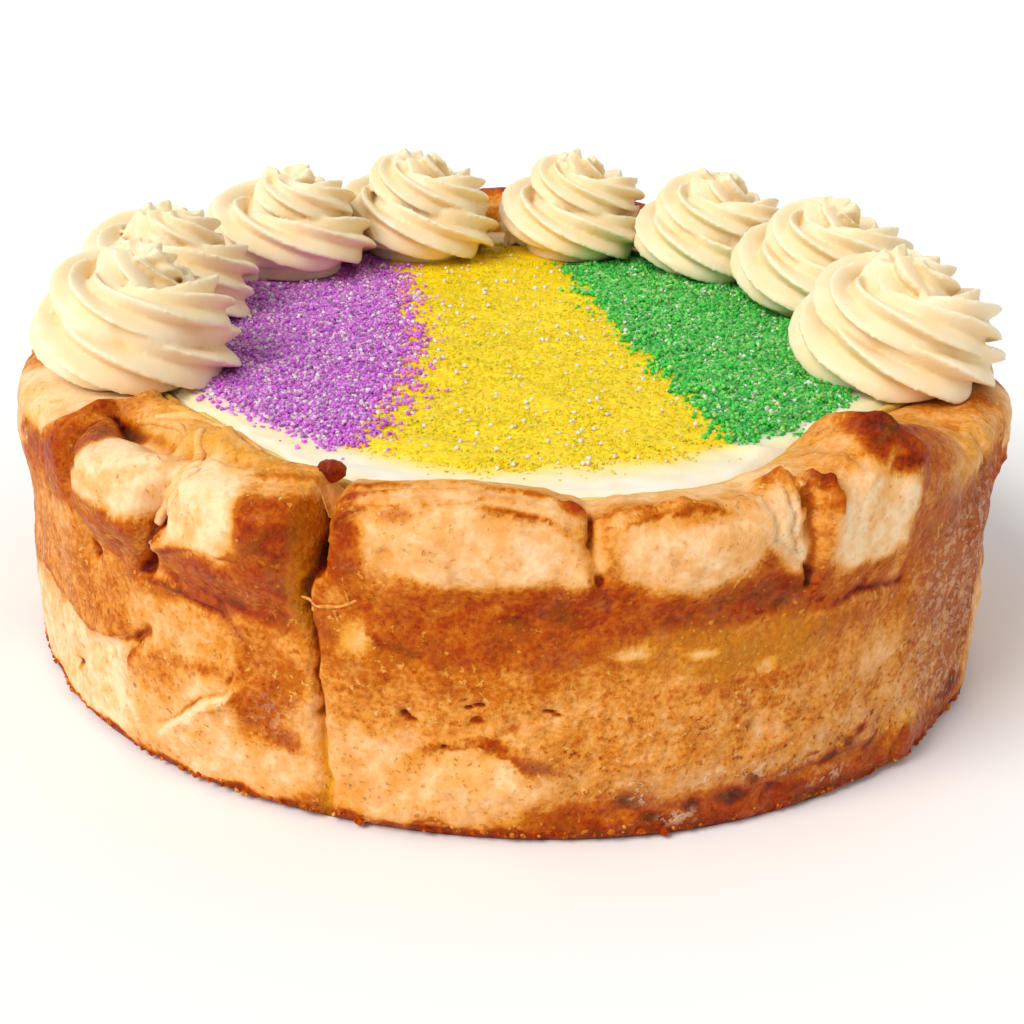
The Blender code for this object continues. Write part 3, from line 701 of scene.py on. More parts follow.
RIM_PATCHES = (
    ("toast", -48, 16, 22, 2.4, 0, 0.26, 0.85),
    ("toast", -52.5, 10.5, 6, 5, 0, 0.42, 0.9),
    ("toast", -49, 10.4, 8, 1.6, 0, 0.80, 0.95),
    ("toast", -34, 13.6, 27, 3.0, 0, 0.20, 0.85),
    ("raw", -34, 13.0, 26, 4.0, 0, 0.5, 0.8),
    ("gloss", -34, 11.0, 26, 5.0, 0, 1.0, 0.9),
    ("toast", -30.2, 5.0, 9, 5.4, 0, 0.05, 0.95),
    ("toast", -46.6, 7.6, 4, 2.0, 0, 0.62, 0.9),
    ("dust", -46.6, 7.6, 5, 2.4, 0, 0.7, 0.9),
    ("toast", -40.4, 4.0, 8.6, 4.4, 0, 0.05, 0.95),
    ("toast", -22.2, 3.0, 4.6, 3.0, 0, 0.45, 0.9),
    ("toast", -21.6, 9.0, 6, 2.6, 0, 0.24, 0.9),
    ("toast", -58, 14.0, 9, 4.0, 0, 0.03, 0.95),
    ("toast", -5, 7.6, 24, 5.6, 0, 0.17, 0.95),
    ("toast", -11, 4.4, 5, 1.4, 6, 0.42, 0.8),
    ("toast", 0.4, 5.4, 5, 1.2, -6, 0.32, 0.8),
    ("toast", 5.6, 10.0, 2.4, 2.6, 0, 0.66, 0.95),
    ("toast", -15.6, 8.0, 2.4, 6.0, 0, 0.42, 0.8),
    ("toast", 16.6, 7.0, 15, 5.0, 0, 0.16, 0.95),
    ("toast", 15.0, 7.4, 9, 3.0, 0, 0.30, 0.95),
    ("toast", 12.4, 9.2, 4, 1.8, 0, 0.38, 0.9),
    ("toast", 17.2, 9.6, 4, 1.8, 0, 0.34, 0.9),
    ("toast", -6, 15.6, 24, 3.0, 0, 0.10, 0.95),
    ("raw", -6, 15.6, 24, 3.0, 0, 0.35, 0.9),
    ("toast", 20, 15.8, 30, 4.0, 0, 0.08, 0.95),
    ("raw", 18, 17.0, 34, 3.4, 0, 0.30, 0.9),
    ("toast", 26.4, 5.4, 3.4, 5.0, 0, 0.06, 0.9),
    ("toast", 26.4, 12.8, 3.4, 1.3, 0, 0.44, 0.95),
    ("toast", 30.6, 8.2, 2.6, 1.8, 0, 0.66, 1.0),
    ("toast", 31.4, 4.0, 1.6, 4.0, 0, 0.54, 0.9),
    ("toast", 36.5, 4.0, 8, 6.0, 0, 0.12, 0.9),
    ("toast", 34.5, 13.4, 9, 3.4, 0, 0.24, 0.95),
    ("toast", 40.4, 9.4, 6.5, 6.5, 0, 0.80, 1.0),
    ("toast", 43.8, 7.4, 8, 6.0, 0, 0.62, 0.9),
    ("toast", 48, 8.0, 9, 5.0, 0, 0.46, 0.85),
    ("dust", 46, 8.0, 8, 4.0, 0, 0.4, 0.8),
    ("toast", 56, 9.0, 9, 6.0, 0, 0.36, 0.8),
    ("toast", 68, 9.0, 24, 8.0, 0, 0.28, 0.95),
    ("toast", 74, 10, 9, 3.0, 0, 0.44, 0.8),
    ("toast", -66, 9.0, 20, 8.0, 0, 0.02, 0.95),
    ("raw", -66, 5.0, 20, 5.0, 0, 0.25, 0.8),
    ("toast", 42, 18.0, 20, 3.4, 0, 0.30, 0.8),
)


BOXINESS = 2.6


def pull(field, strength, value):
    return field * (1 - strength) + value * strength


def patched(qualities, patches, angle, z, where):
    """Pulls the qualities towards the patches' values, inside soft-edged boxes with round corners."""
    for quality, a0, z0, wide, high, lean, value, strength in patches:
        x = turn(angle, a0) * ARC
        y = z - z0
        c = math.cos(math.radians(lean))
        s = math.sin(math.radians(lean))
        reach = np.abs((x * c + y * s) / wide) ** BOXINESS + np.abs((y * c - x * s) / high) ** BOXINESS
        reach = reach ** (1 / BOXINESS)
        blur = 1 - step(np.minimum(wide, high) + 0 * reach, 2.0, 9.0)
        felt = (1 - step(reach, 0.70 - 0.45 * blur, 1.26 + 0.3 * blur)) * strength * where
        qualities[quality] = pull(qualities[quality], felt, value)


# The height of a dark band that runs unevenly round the wall where it can't be seen.
DARK_BAND = 47
skin = places(sheet)
angle, row, height, over, lip, wander = (read(sheet, name) for name in kept)
drift = roughened(skin, 6.0, 3, 8)
wander = wander / 1.5
slow = roughened(skin, 34.0, 3, 13)
band = np.exp(-(((height - DARK_BAND + 5 * wander + 4 * np.sin(np.radians(5 * angle))) / 6.0) ** 2))
toast = 0.34 + 0.16 * step(height, 30, 46) - 0.12 * step(height, 58, 68) + 0.26 * slow
toast = toast + 0.26 * band * (0.7 + slow) * step(np.abs(angle), 60, 75)
for a0, z0, wide, high, rise, square in PILLOWS:
    if high < 8.5 or abs(a0) < 60:
        continue
    own = math.sin(1.7 * a0)
    reach = np.abs(turn(angle, a0 + 1.4 * own) / wide) ** 3 + np.abs((height - z0 - 2 + 2 * own) / high) ** 3
    reach = reach + 0.6 * drift
    toast = pull(toast, (1 - step(reach, 0.05, 0.95 + 0.15 * own)) * 0.9, 0.16 + 0.07 * own)
    toast = pull(toast, np.exp(-(((reach - 1.1) / 0.5) ** 2)) * (0.35 + 0.25 * own), 0.60)
crown = np.exp(-(((row - 1.46) / 0.17) ** 2)) * step(np.abs(angle), 104, 118)
toast = pull(toast, crown * 0.8, 0.70 + 0.25 * wander)
toast = pull(toast, step(row, 1.66, 1.85) * 0.8, 0.22)
qualities = {
    "toast": toast,
    "raw": 0.22 * step(row, 1.6, 1.8),
    "dust": 0.35 * step(drift, 0.15, 0.6),
    "gloss": 0.30 + 0.4 * step(wander, 0.0, 0.5),
    "spice": 0.30 + 0.3 * (1 - step(height, 26, 40)),
    "dry": 0.0 * height,
}
patched(qualities, WALL_PATCHES, angle, height, 1 - step(row, 1.40, 1.5))
patched(qualities, RIM_PATCHES, angle, over, step(row, 1.02, 1.10))
edge = (1 - step(height + 0.7 * drift, 1.6, 3.6)) * (1 - step(row, 1.0, 1.1))
toast = pull(qualities["toast"], edge * 0.9, 0.68)
toast = toast + 0.22 * lip * step(toast, 0.12, 0.24) * (1 - step(toast, 0.5, 0.9))
# How deep each point lies in a hollow; the dough's finish darkens the hollows with painted shade.
hollow = hollowness(sheet, 26)
fold = hollowness(sheet, 110)
qualities["toast"] = toast + 0.12 * np.clip(-fold, 0, 1.2) * step(toast, 0.15, 0.5)
noted(sheet, "hollow", np.clip(hollow * 1.2 + fold * 0.5, -1, 1.6))
for name, values in qualities.items():
    noted(sheet, name, values)


class Socket:
    """A value inside a material, which can be used in a sum."""

    def __init__(self, tree, link):
        self.tree = tree
        self.link = link

    def maths(self, operation, *values, clamp=False):
        made = self.tree.nodes.new("ShaderNodeMath")
        made.operation = operation
        made.use_clamp = clamp
        for slot, value in zip(made.inputs, values):
            feed(self.tree, slot, value)
        return Socket(self.tree, made.outputs[0])

    def __add__(self, other):
        return self.maths("ADD", self, other)

    def __sub__(self, other):
        return self.maths("SUBTRACT", self, other)

    def __rsub__(self, other):
        return self.maths("SUBTRACT", other, self)

    def __mul__(self, other):
        return self.maths("MULTIPLY", self, other)

    __radd__ = __add__
    __rmul__ = __mul__

    def held(self):
        return self.maths("ADD", self, 0, clamp=True)

    def between(self, low, high):
        """0 below low, 1 above high and smooth between them."""
        made = self.tree.nodes.new("ShaderNodeMapRange")
        made.interpolation_type = "SMOOTHSTEP"
        for slot, value in zip(made.inputs, (self, low, high, 0, 1)):
            feed(self.tree, slot, value)
        return Socket(self.tree, made.outputs[0])


def feed(tree, slot, value):
    if isinstance(value, Socket):
        tree.links.new(value.link, slot)
    elif isinstance(value, tuple) and len(value) == 3 and slot.type == "RGBA":
        slot.default_value = (*value, 1)
    else:
        slot.default_value = value


class Finish:
    """A material under way. Its nodes are made by kind, with their settings first and then their inputs."""

    def __init__(self, name, **fixed):
        self.material = bpy.data.materials.new(name)
        self.material.use_nodes = True
        self.tree = self.material.node_tree
        self.shader = self.tree.nodes["Principled BSDF"]
        for slot, value in fixed.items():
            self.shader.inputs[slot.replace("_", " ")].default_value = value
        self.object_place = self.node("ShaderNodeTexCoord", out="Object")

    def node(self, kind, settings=None, out=0, **inputs):
        made = self.tree.nodes.new(kind)
        for name, value in (settings or {}).items():
            if name == "stops":
                set_stops(made.color_ramp, value)
            else:
                setattr(made, name, value)
        for slot, value in inputs.items():
            feed(self.tree, made.inputs[slot.replace("_", " ")], value)
        return Socket(self.tree, made.outputs[out])

    def kept(self, name):
        return self.node("ShaderNodeAttribute", {"attribute_name": name}, out="Fac")

    def speckle(self, size, detail=2.0, rough=0.5):
        """Noise of a size in millimetres, from 0 to 1."""
        return self.node(
            "ShaderNodeTexNoise", Vector=self.object_place, Scale=1000 / size, Detail=detail, Roughness=rough
        )

    def cells(self, size, out="Distance"):
        """Grains of a size in millimetres: the distance from each one's middle, or a colour for each."""
        return self.node("ShaderNodeTexVoronoi", out=out, Vector=self.object_place, Scale=1000 / size)

    def blend(self, amount, first, second, way="MIX"):
        made = self.tree.nodes.new("ShaderNodeMix")
        made.data_type = "RGBA"
        made.blend_type = way
        feed(self.tree, made.inputs[0], amount)
        feed(self.tree, made.inputs[6], first)
        feed(self.tree, made.inputs[7], second)
        return Socket(self.tree, made.outputs[2])

    def ramp(self, value, stops):
        return self.node("ShaderNodeValToRGB", {"stops": stops}, out="Color", Fac=value)

    def relief(self, height, deep):
        """A bump of a depth in millimetres."""
        return self.node("ShaderNodeBump", out="Normal", Height=height, Distance=deep * MM, Strength=1.0)

    def wear(self, **inputs):
        for slot, value in inputs.items():
            feed(self.tree, self.shader.inputs[slot.replace("_", " ")], value)
        return self.material


def set_stops(ramp, stops):
    ramp.interpolation = "LINEAR"
    while len(ramp.elements) < len(stops):
        ramp.elements.new(1.0)
    for element, (place, colour) in zip(ramp.elements, stops):
        element.position = place
        element.color = (*colour, 1)


def baked_dough():
    """Pale soft dough browning through gold and orange to scorched brown, with cinnamon, dry bits and painted
    shade in hollows and pits.
    """
    dough = Finish(
        "baked_dough",
        Subsurface_Weight=0.10,
        Subsurface_Scale=0.002,
        Coat_Roughness=0.18,
        Specular_IOR_Level=0.06,
    )
    dough.shader.inputs["Subsurface Radius"].default_value = (1.0, 0.35, 0.1)
    broad = dough.speckle(7.5, 4.0, 0.55).between(0.30, 0.70)
    mid = dough.speckle(3.0, 3.0, 0.5).between(0.30, 0.70)
    small = dough.speckle(1.1, 2.0, 0.5).between(0.30, 0.70)
    tiny = dough.speckle(0.4, 1.0)
    toast = dough.kept("toast")
    hollow = dough.kept("hollow")
    crusty = toast.between(0.10, 0.42)
    # Painted shade: hollows in crusty dough are pushed towards darker toast.
    deep = hollow.between(0.10, 1.1) * crusty
    flakes = dough.speckle(1.7, 3.0, 0.55).between(0.60, 0.64) * broad.between(0.35, 0.75) * crusty
    scorches = dough.speckle(1.6, 3.0, 0.55).between(0.62, 0.67) * crusty
    toast_and_shade = toast + (broad - 0.5) * 0.17 + (mid - 0.5) * 0.11 + (small - 0.5) * (crusty * 0.10 + 0.03)
    toast_and_shade = toast_and_shade - flakes * 0.22 + scorches * 0.13 + deep * 0.30
    colour = dough.ramp(
        toast_and_shade,
        (
            (0.00, (0.92, 0.66, 0.38)),
            (0.15, (0.86, 0.46, 0.18)),
            (0.33, (0.73, 0.285, 0.042)),
            (0.50, (0.51, 0.120, 0.003)),
            (0.68, (0.36, 0.040, 0.001)),
            (0.84, (0.22, 0.018, 0.001)),
            (1.00, (0.085, 0.008, 0.002)),
        ),
    )
    raw = (dough.kept("raw") + (broad - 0.5) * 0.25).held()
    colour = dough.blend(raw * 0.75, colour, (0.84, 0.42, 0.02))
    torn = dough.speckle(1.9, 4.0, 0.6)
    dust = (dough.kept("dust") * (0.15 + torn.between(0.42, 0.60) * 0.9)).held()
    colour = dough.blend(dust * 0.6, colour, (0.42, 0.175, 0.075))
    specks = dough.speckle(1.1, 2.0, 0.5).between(0.655, 0.69)
    blots = dough.speckle(2.6, 3.0, 0.5).between(0.66, 0.69)
    spice = ((specks + blots) * dough.kept("spice") * (0.35 + broad * 0.65)).held()
    colour = dough.blend(spice * 0.8, colour, (0.20, 0.030, 0.005))
    # Painted shade in small pits: the sunken pits are darkened a little.
    pits = dough.speckle(1.3, 1.0, 0.5).between(0.69, 0.75) * broad.between(0.4, 0.8)
    colour = dough.blend(pits * 0.15, colour, (0.50, 0.19, 0.03))
    dry = (dough.kept("dry") * torn.between(0.50, 0.44)).held()
    colour = dough.blend(dry * 0.8, colour, (0.80, 0.50, 0.31))
    # Painted shade: hollows in crusty dough are darkened further by multiplying in a brown.
    painted_shade = hollow.between(0.5, 1.5) * crusty * 0.75
    colour = dough.blend(painted_shade, colour, (0.45, 0.20, 0.06), way="MULTIPLY")
    gloss = dough.kept("gloss")
    rough = 0.56 - gloss * 0.24 + (mid - 0.5) * 0.12
    height = (mid * 0.34 + small * 0.22 + tiny * 0.05) * (crusty * 0.6 + 0.4)
    height = height - spice * 0.2 - pits * 0.4 + flakes * 0.3 + dry * 0.5
    return dough.wear(
        Base_Color=colour,
        Roughness=rough,
        Coat_Weight=(gloss * 0.14).held(),
        Normal=dough.relief(height, 0.62),
    )


crust = shown(sheet, "dough_case", baked_dough())
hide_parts("crust")


# Strings and scraps of the dough.
# Where the folds were pulled apart the dough has stretched into strings, which baked on to the skin. They
# are separate bits of the same dough, pressed on, like the coarse crumbs that toasted round the foot.
# Each string: a chain of (angle, height, radius), its half width, its toast and its yellow.
STRINGS = (
    (((-37.0, 56.5, 116), (-35.4, 61.5, 116), (-34.2, 66.5, 115), (-33.2, 70.5, 110)), 1.35, 0.10, 0.2),
    (((-38.0, 53.5, 115), (-36.8, 58.5, 115), (-36.0, 63.5, 115), (-35.8, 68.5, 112)), 0.80, 0.26, 0.3),
    (((-34.6, 60.5, 117), (-33.2, 65.5, 117), (-32.1, 69.8, 113)), 0.90, 0.05, 0.15),
    (((-46.0, 72.0, 103), (-43.0, 72.5, 100), (-39.5, 72.5, 98), (-36.0, 72.0, 99), (-33.0, 71.5, 102)),
     1.20, 0.12, 0.5),
    (((-48.0, 71.5, 101), (-44.0, 72.5, 97), (-39.0, 72.0, 95.5), (-34.0, 71.5, 97), (-29.5, 71.0, 100)),
     1.0, 0.20, 0.6),
    (((-48.5, 71.0, 106), (-45.0, 72.0, 104), (-41.0, 72.0, 103), (-37.5, 71.0, 105)), 0.9, 0.24, 0.4),
    (((-37.0, 71.5, 103), (-35.5, 71.0, 106), (-34.6, 70.0, 109), (-34.4, 67.0, 113)), 1.1, 0.14, 0.4),
    (((-19.8, 50.2, 116), (-18.6, 48.8, 116), (-17.2, 49.2, 117), (-15.8, 49.3, 118), (-14.2, 51.6, 118)),
     0.40, 0.34, 0.0),
    (((-16.6, 49.4, 117), (-16.4, 48.0, 116), (-16.1, 46.6, 116)), 0.36, 0.34, 0.0),
    (((-18.9, 50.2, 117), (-19.2, 48.6, 116), (-19.3, 47.2, 116)), 0.32, 0.36, 0.0),
    (((-15.2, 49.8, 118), (-14.9, 51.2, 118), (-15.4, 53.2, 118)), 0.32, 0.34, 0.0),
)
STRING_STEPS = 30
STRING_SIDES = 12
# Knobs: angle, height, radius, then half sizes across, up and out, toast and yellow.
KNOBS = (
    (-18.0, 73.6, 103.0, 2.8, 2.0, 2.6, 0.84, 0.0),
)


def rope_end(bm, sides):
    return list(bmesh.ops.create_circle(bm, cap_ends=True, segments=sides, radius=1.0)["verts"])


def sweep(bm, places_along, widths, sides):
    """A tube through points in metres, closed at both ends, made by drawing out a ring."""
    ring = rope_end(bm, sides)
    for n, (spot, width) in enumerate(zip(places_along, widths)):
        if n:
            ring = drawn_out(bm, ring)
        ahead_of = places_along[min(n + 1, len(places_along) - 1)] - places_along[max(n - 1, 0)]
        turned = ahead_of.to_track_quat("Z", "X").to_matrix()
        for i, v in enumerate(ring):
            psi = math.tau * i / sides
            v.co = spot + turned @ Vector((math.cos(psi), math.sin(psi), 0)) * width
    bmesh.ops.contextual_create(bm, geom=ring)


def drawn_out(bm, ring):
    """Extrudes a ring of points once, and gives the new ring in the same order."""
    edges = [bm.edges.get((a, b)) for a, b in zip(ring, ring[1:] + ring[:1])]
    made = bmesh.ops.extrude_edge_only(bm, edges=edges)["geom"]
    fresh = {g for g in made if isinstance(g, bmesh.types.BMVert)}
    return [next(e.other_vert(v) for e in v.link_edges if e.other_vert(v) in fresh) for v in ring]


def laid(angle, z, radius, lift):
    """A place on the dough nearest to an angle, height and radius in millimetres, lifted off it."""
    wanted = Vector(stood(np.array([radius]), np.array([angle]), np.array([z]))[0])
    found, normal = dough_skin.find_nearest(wanted)[:2]
    return found + normal * lift * MM


def eased(points, count):
    """Evenly spaced points on a smooth run through a chain."""
    at = np.linspace(0, len(points) - 1, count)
    chain = np.array(points)
    k = np.clip(at.astype(int), 0, len(points) - 2)
    t = (at - k)[:, None]
    before = chain[np.maximum(k - 1, 0)]
    after = chain[np.minimum(k + 2, len(points) - 1)]
    p, q = chain[k], chain[k + 1]
    return 0.5 * (2 * p + (q - before) * t + (2 * before - 5 * p + 4 * q - after) * t**2
                  + (3 * p - before - 3 * q + after) * t**3)


bm = bmesh.new()
bm.from_mesh(crust.data)
dough_skin = BVHTree.FromBMesh(bm)
bm.free()
dough_finish = crust.data.materials[0]
scraps = bmesh.new()
tones = scraps.verts.layers.float.new("toast")
yellows = scraps.verts.layers.float.new("raw")
for number, (chain, half, browned, yellow) in enumerate(STRINGS):
    known = len(scraps.verts)
    run = [laid(a0, z0, r0, -0.1 * half) for a0, z0, r0 in eased(chain, STRING_STEPS)]
    for _ in range(6):
        run = [(a + 2 * b + c) / 4 for a, b, c in zip(run[:1] + run, run, run[1:] + run[-1:])]
    thick = [
        half * MM * (0.25 + 0.75 * math.sin(math.pi * min(max(n / (STRING_STEPS - 1), 0.02), 0.98)) ** 0.4)
        * (1 + 0.16 * math.sin(0.5 * n + number) + 0.06 * math.sin(1.3 * n))
        for n in range(STRING_STEPS)
    ]
    sweep(scraps, run, thick, STRING_SIDES)
    scraps.verts.ensure_lookup_table()
    for v in scraps.verts[known:]:
        v[tones] = browned + 0.1 * noise.noise(v.co * 300)
        v[yellows] = yellow
for a0, z0, r0, across_knob, up, out, browned, yellow in KNOBS:
    known = len(scraps.verts)
    middle = laid(a0, z0, r0, 0.3 * out)
    swing = Matrix.Rotation(math.radians(a0), 4, "Z")
    scale = Matrix.Diagonal((across_knob * MM, out * MM, up * MM, 1))
    set_down = Matrix.Translation(middle) @ swing @ scale
    bmesh.ops.create_icosphere(scraps, subdivisions=4, radius=1.0, matrix=set_down)
    scraps.verts.ensure_lookup_table()
    for v in scraps.verts[known:]:
        v.co += (v.co - middle) * 0.30 * noise.fractal(v.co * 420, 1.0, 2.1, 3)
        v[tones] = browned + 0.15 * noise.noise(v.co * 400)
        v[yellows] = yellow
bmesh.ops.recalc_face_normals(scraps, faces=scraps.faces)
sheet = bpy.data.meshes.new("scraps")
scraps.to_mesh(sheet)
scraps.free()
sheet.shade_smooth()
noted(sheet, "hollow", np.zeros(len(sheet.vertices)))
noted(sheet, "gloss", np.full(len(sheet.vertices), 0.8))
scraps = shown(sheet, "dough_strings", dough_finish)
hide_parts("crust")


def turned_about(count, rng):
    """Rotation matrices of random turns."""
    q = rng.normal(size=(count, 4))
    w, i, j, k = (q / np.linalg.norm(q, axis=1)[:, None]).T
    rows = [
        [1 - 2 * (j * j + k * k), 2 * (i * j - k * w), 2 * (i * k + j * w)],
        [2 * (i * j + k * w), 1 - 2 * (i * i + k * k), 2 * (j * k - i * w)],
        [2 * (i * k - j * w), 2 * (j * k + i * w), 1 - 2 * (i * i + j * j)],
    ]
    return np.array(rows).transpose(2, 0, 1)


def strewn(name, template, centres, sizes, rng, tone, kept_as="tone"):
    """One mesh of many copies of a small shape, each turned its own way, with a tone for each copy."""
    template.verts.ensure_lookup_table()
    corners = np.array([v.co for v in template.verts])
    faces = np.array([[v.index for v in f.verts] for f in template.faces])
    count = len(centres)
    grown = corners[None] * sizes[:, None, :]
    spots = np.einsum("nij,nkj->nki", turned_about(count, rng), grown) + centres[:, None]
    shifted = faces[None] + len(corners) * np.arange(count)[:, None, None]
    mesh = bpy.data.meshes.new(name)
    mesh.vertices.add(count * len(corners))
    mesh.loops.add(shifted.size)
    mesh.polygons.add(count * len(faces))
    mesh.vertices.foreach_set("co", (spots * MM).astype(np.float32).ravel())
    mesh.loops.foreach_set("vertex_index", shifted.astype(np.int32).ravel())
    mesh.polygons.foreach_set("loop_start", np.arange(0, shifted.size, 3, dtype=np.int32))
    mesh.update(calc_edges=True)
    mesh.validate()
    noted(mesh, kept_as, np.repeat(tone, len(corners)))
    template.free()
    return mesh


def crumb():
    """One crumb: a small lump with bumps knocked into it."""
    bm = bmesh.new()
    bmesh.ops.create_icosphere(bm, subdivisions=1, radius=1.0)
    for v in bm.verts:
        v.co *= 1 + 0.35 * noise.noise(v.co * 1.7)
    return bm


CRUMBS = 620
rng = np.random.default_rng(5)
crumb_angle = rng.uniform(-180, 180, CRUMBS)
crumb_size = rng.uniform(0.35, 0.85, CRUMBS) * rng.uniform(0.7, 1.2, CRUMBS)
crumb_z = crumb_size * 0.6 + rng.exponential(0.45, CRUMBS)
crumbs_at = zip(crumb_angle, crumb_z, crumb_size)
centres = np.array([np.array(laid(a0, z0, 116, -0.7 * r0)) / MM for a0, z0, r0 in crumbs_at])
centres[:, 2] = np.maximum(centres[:, 2], crumb_size * 0.5)
sizes = crumb_size[:, None] * rng.uniform(0.6, 1.5, (CRUMBS, 3))
sheet = strewn("foot_crumbs", crumb(), centres, sizes, rng, rng.uniform(0.35, 0.8, CRUMBS), "toast")
put(sheet, np.maximum(places(sheet), np.array([-1, -1, 0.00002])))
sheet.shade_smooth()
noted(sheet, "gloss", np.full(len(sheet.vertices), 0.4))
crumbs = shown(sheet, "foot_crumbs", dough_finish)
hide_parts("crust")


# The cheesecake.
# A set custard that fills the case. Only its edge shows, as a thin glossy ring between the icing and the
# dough.
FILLING_RIM = 2.6
FILLING_TOP = 65.2
FILLING_COLUMNS = 300
sheet, column, line = wrapped(FILLING_COLUMNS, 10)
angle = column / FILLING_COLUMNS * 360 - 180
inner = curve(INNER_RADIUS, angle)
high = 0.9 * (1 - step(np.abs(angle), 40, 56))
brim = ICING_PLANE + high
level = 0 * high
radius = np.choose(
    line.astype(int),
    [
        0 * inner, inner - 2.6, inner - 1.1, inner - 1.0, inner - 1.2, inner - 1.9,
        inner - FILLING_RIM + 0.4, inner - FILLING_RIM - 0.3, inner - FILLING_RIM - 0.6,
        inner * 0.5, 0 * inner,
    ],
)
z = np.choose(
    line.astype(int),
    [
        level + FLOOR + 0.3, level + FLOOR + 0.3, level + 62, brim - 1.2, brim - 0.7, brim - 0.4, brim - 0.7,
        brim - 1.5, level + FILLING_TOP, level + FILLING_TOP, level + FILLING_TOP,
    ],
)
wave = roughened(stood(inner, angle, 0 * angle), 6.0, 3, 8)
radius = radius - np.where((line > 2) & (line < 8), 0.5 * wave, 0)
z = z + np.where((line > 2) & (line < 8), 0.3 * wave, 0)
put(sheet, stood(radius, angle, z))
sealed(sheet)


def cheesecake():
    """Smooth yellow custard, wet enough to shine, browned a little where it met the dough."""
    custard = Finish("cheesecake", Subsurface_Weight=0.25, Subsurface_Scale=0.003, Coat_Roughness=0.08)
    custard.shader.inputs["Subsurface Radius"].default_value = (1.0, 0.6, 0.2)
    broad = custard.speckle(5.0, 3.0)
    fine = custard.speckle(0.8, 3.0)
    colour = custard.ramp(
        broad * 0.8 + fine * 0.25,
        ((0.25, (0.76, 0.36, 0.030)), (0.5, (0.86, 0.56, 0.09)), (0.75, (0.90, 0.70, 0.28))),
    )
    return custard.wear(
        Base_Color=colour, Roughness=0.24 + fine * 0.16, Coat_Weight=0.5, Normal=custard.relief(fine, 0.15)
    )


filling = shown(sheet, "cheesecake", cheesecake())
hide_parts("cheesecake_filling")


# The icing.
# White icing spread with a knife over the cheesecake, in soft strokes, and stained by the sugar that lies
# on it.
ICING_SHEET_COLUMNS = 420
ICING_RINGS = 96
# Where each colour of sugar ends: (distance behind the cake's centre, distance to the right).
PURPLE_EDGE = (
    (-80, -37), (-66, -33), (-43, -28.5), (-22, -27), (1, -28.5), (26, -31.5), (46, -34), (62, -36),
    (80, -38),
)
GREEN_EDGE = (
    (-80, 49), (-62, 44.5), (-43, 41), (-27, 36.5), (-9.5, 31.5), (9, 26), (29, 20.5), (42, 17), (68, 12),
    (80, 9),
)
# How far forward the sugar reaches: (angle, radius).
SUGAR_FRONT = (
    (-180, 90), (-70, 84), (-54, 82), (-40, 81), (-31, 83), (-25, 84), (-14, 86), (0, 87), (11, 85),
    (18, 84), (25, 83), (32, 80), (39, 79.5), (47, 80.5), (63, 81), (80, 86), (180, 90),
)


def between_rows(points, at):
    return np.interp(at, [p[0] for p in points], [p[1] for p in points])


def icing_height(x, y):
    """A spread of icing: nearly level, with soft strokes of the knife."""
    r = np.hypot(x, y)
    angle = np.degrees(np.arctan2(x, -y))
    back = -y
    open_ground = 1 - step(r, 52, 60)
    front = (1 - step(np.abs(angle), 38, 55)) * step(r, 60, 70)
    stroke = 0.35 * np.sin(x / 9.0 + 1.3 * np.sin(back / 14.0)) + 0.2 * np.sin(back / 6.0 + x / 21.0)
    return ICING_PLANE + stroke * np.maximum(open_ground, front)


def heaps(x, y):
    """How unevenly the sugar lies, from 0 to 1."""
    ground = np.stack([x, y, 0 * x], 1) * MM
    return np.clip(0.5 + 0.55 * roughened(ground, 5.0, 3, 21), 0, 1)


def sugar_cover(x, y, stray, loose):
    """How thickly each sugar lies at each place, from 0 to 1. Loose moves single grains over the borders."""
    r = np.hypot(x, y)
    angle = np.degrees(np.arctan2(x, -y))
    past_purple = x + stray + loose - between_rows(PURPLE_EDGE, y)
    past_green = x + 0.8 * stray + 0.6 * loose - between_rows(GREEN_EDGE, y)
    front = curve(SUGAR_FRONT, angle)
    reach = r + 0.7 * stray + 0.3 * loose
    thick = 1 - step(reach, front - 5, front + 1.5)
    return {
        "purple": np.where(past_purple < 0, thick, 0),
        "yellow": np.where((past_purple >= 0) & (past_green <= 0), thick, 0),
        "green": np.where(past_green > 0, thick, 0),
        "clear": (0.05 + 0.7 * step(-past_purple, -5, 5) + 0.8 * step(past_green, -2, 10)) * thick,
        "stray": 0.035 * (1 - step(reach, front, front + 8)) * (1 - thick),
    }


sheet, column, line = wrapped(ICING_SHEET_COLUMNS, ICING_RINGS + 4)
angle = column / ICING_SHEET_COLUMNS * 360 - 180
edge = curve(INNER_RADIUS, angle) - FILLING_RIM - 1.0
edge = edge + 0.8 * roughened(stood(edge, angle, 0 * angle), 11.0, 3, 9)
share = 1 - np.clip((line - 4) / ICING_RINGS, 0, 1)
radius = np.select(
    [line == 0, line == 1, line == 2, line == 3], [0 * edge, edge - 1.4, edge, edge + 0.1], edge * share
)
x, y = (stood(radius, angle, 0 * angle)[:, :2] / MM).T
z = icing_height(x, y)
spread = stood(radius, angle, z)
strokes = roughened(spread * np.array([0.35, 1.0, 1.0]), 5.0, 4, 10)
soft = roughened(spread, 3.0, 3, 11)
band = step(radius, 70, 78) * (1 - step(np.abs(angle), 50, 62))
z = z + 0.28 * strokes * (0.5 + band) + 0.12 * soft
z = z - 1.3 * step(share, 0.975, 1.0) * (line >= 4)
smear = np.exp(-(((x - 50) / 5.0) ** 2 + ((y + 67.5) / 2.6) ** 2))
z = z + 1.2 * smear
z = np.select([line <= 1, line == 2, line == 3], [FILLING_TOP + 0.3, 66.0, 66.6], z)
put(sheet, stood(radius, angle, z))
ragged = roughened(stood(radius, angle, 0 * angle), 7.0, 4, 12) * 4.0
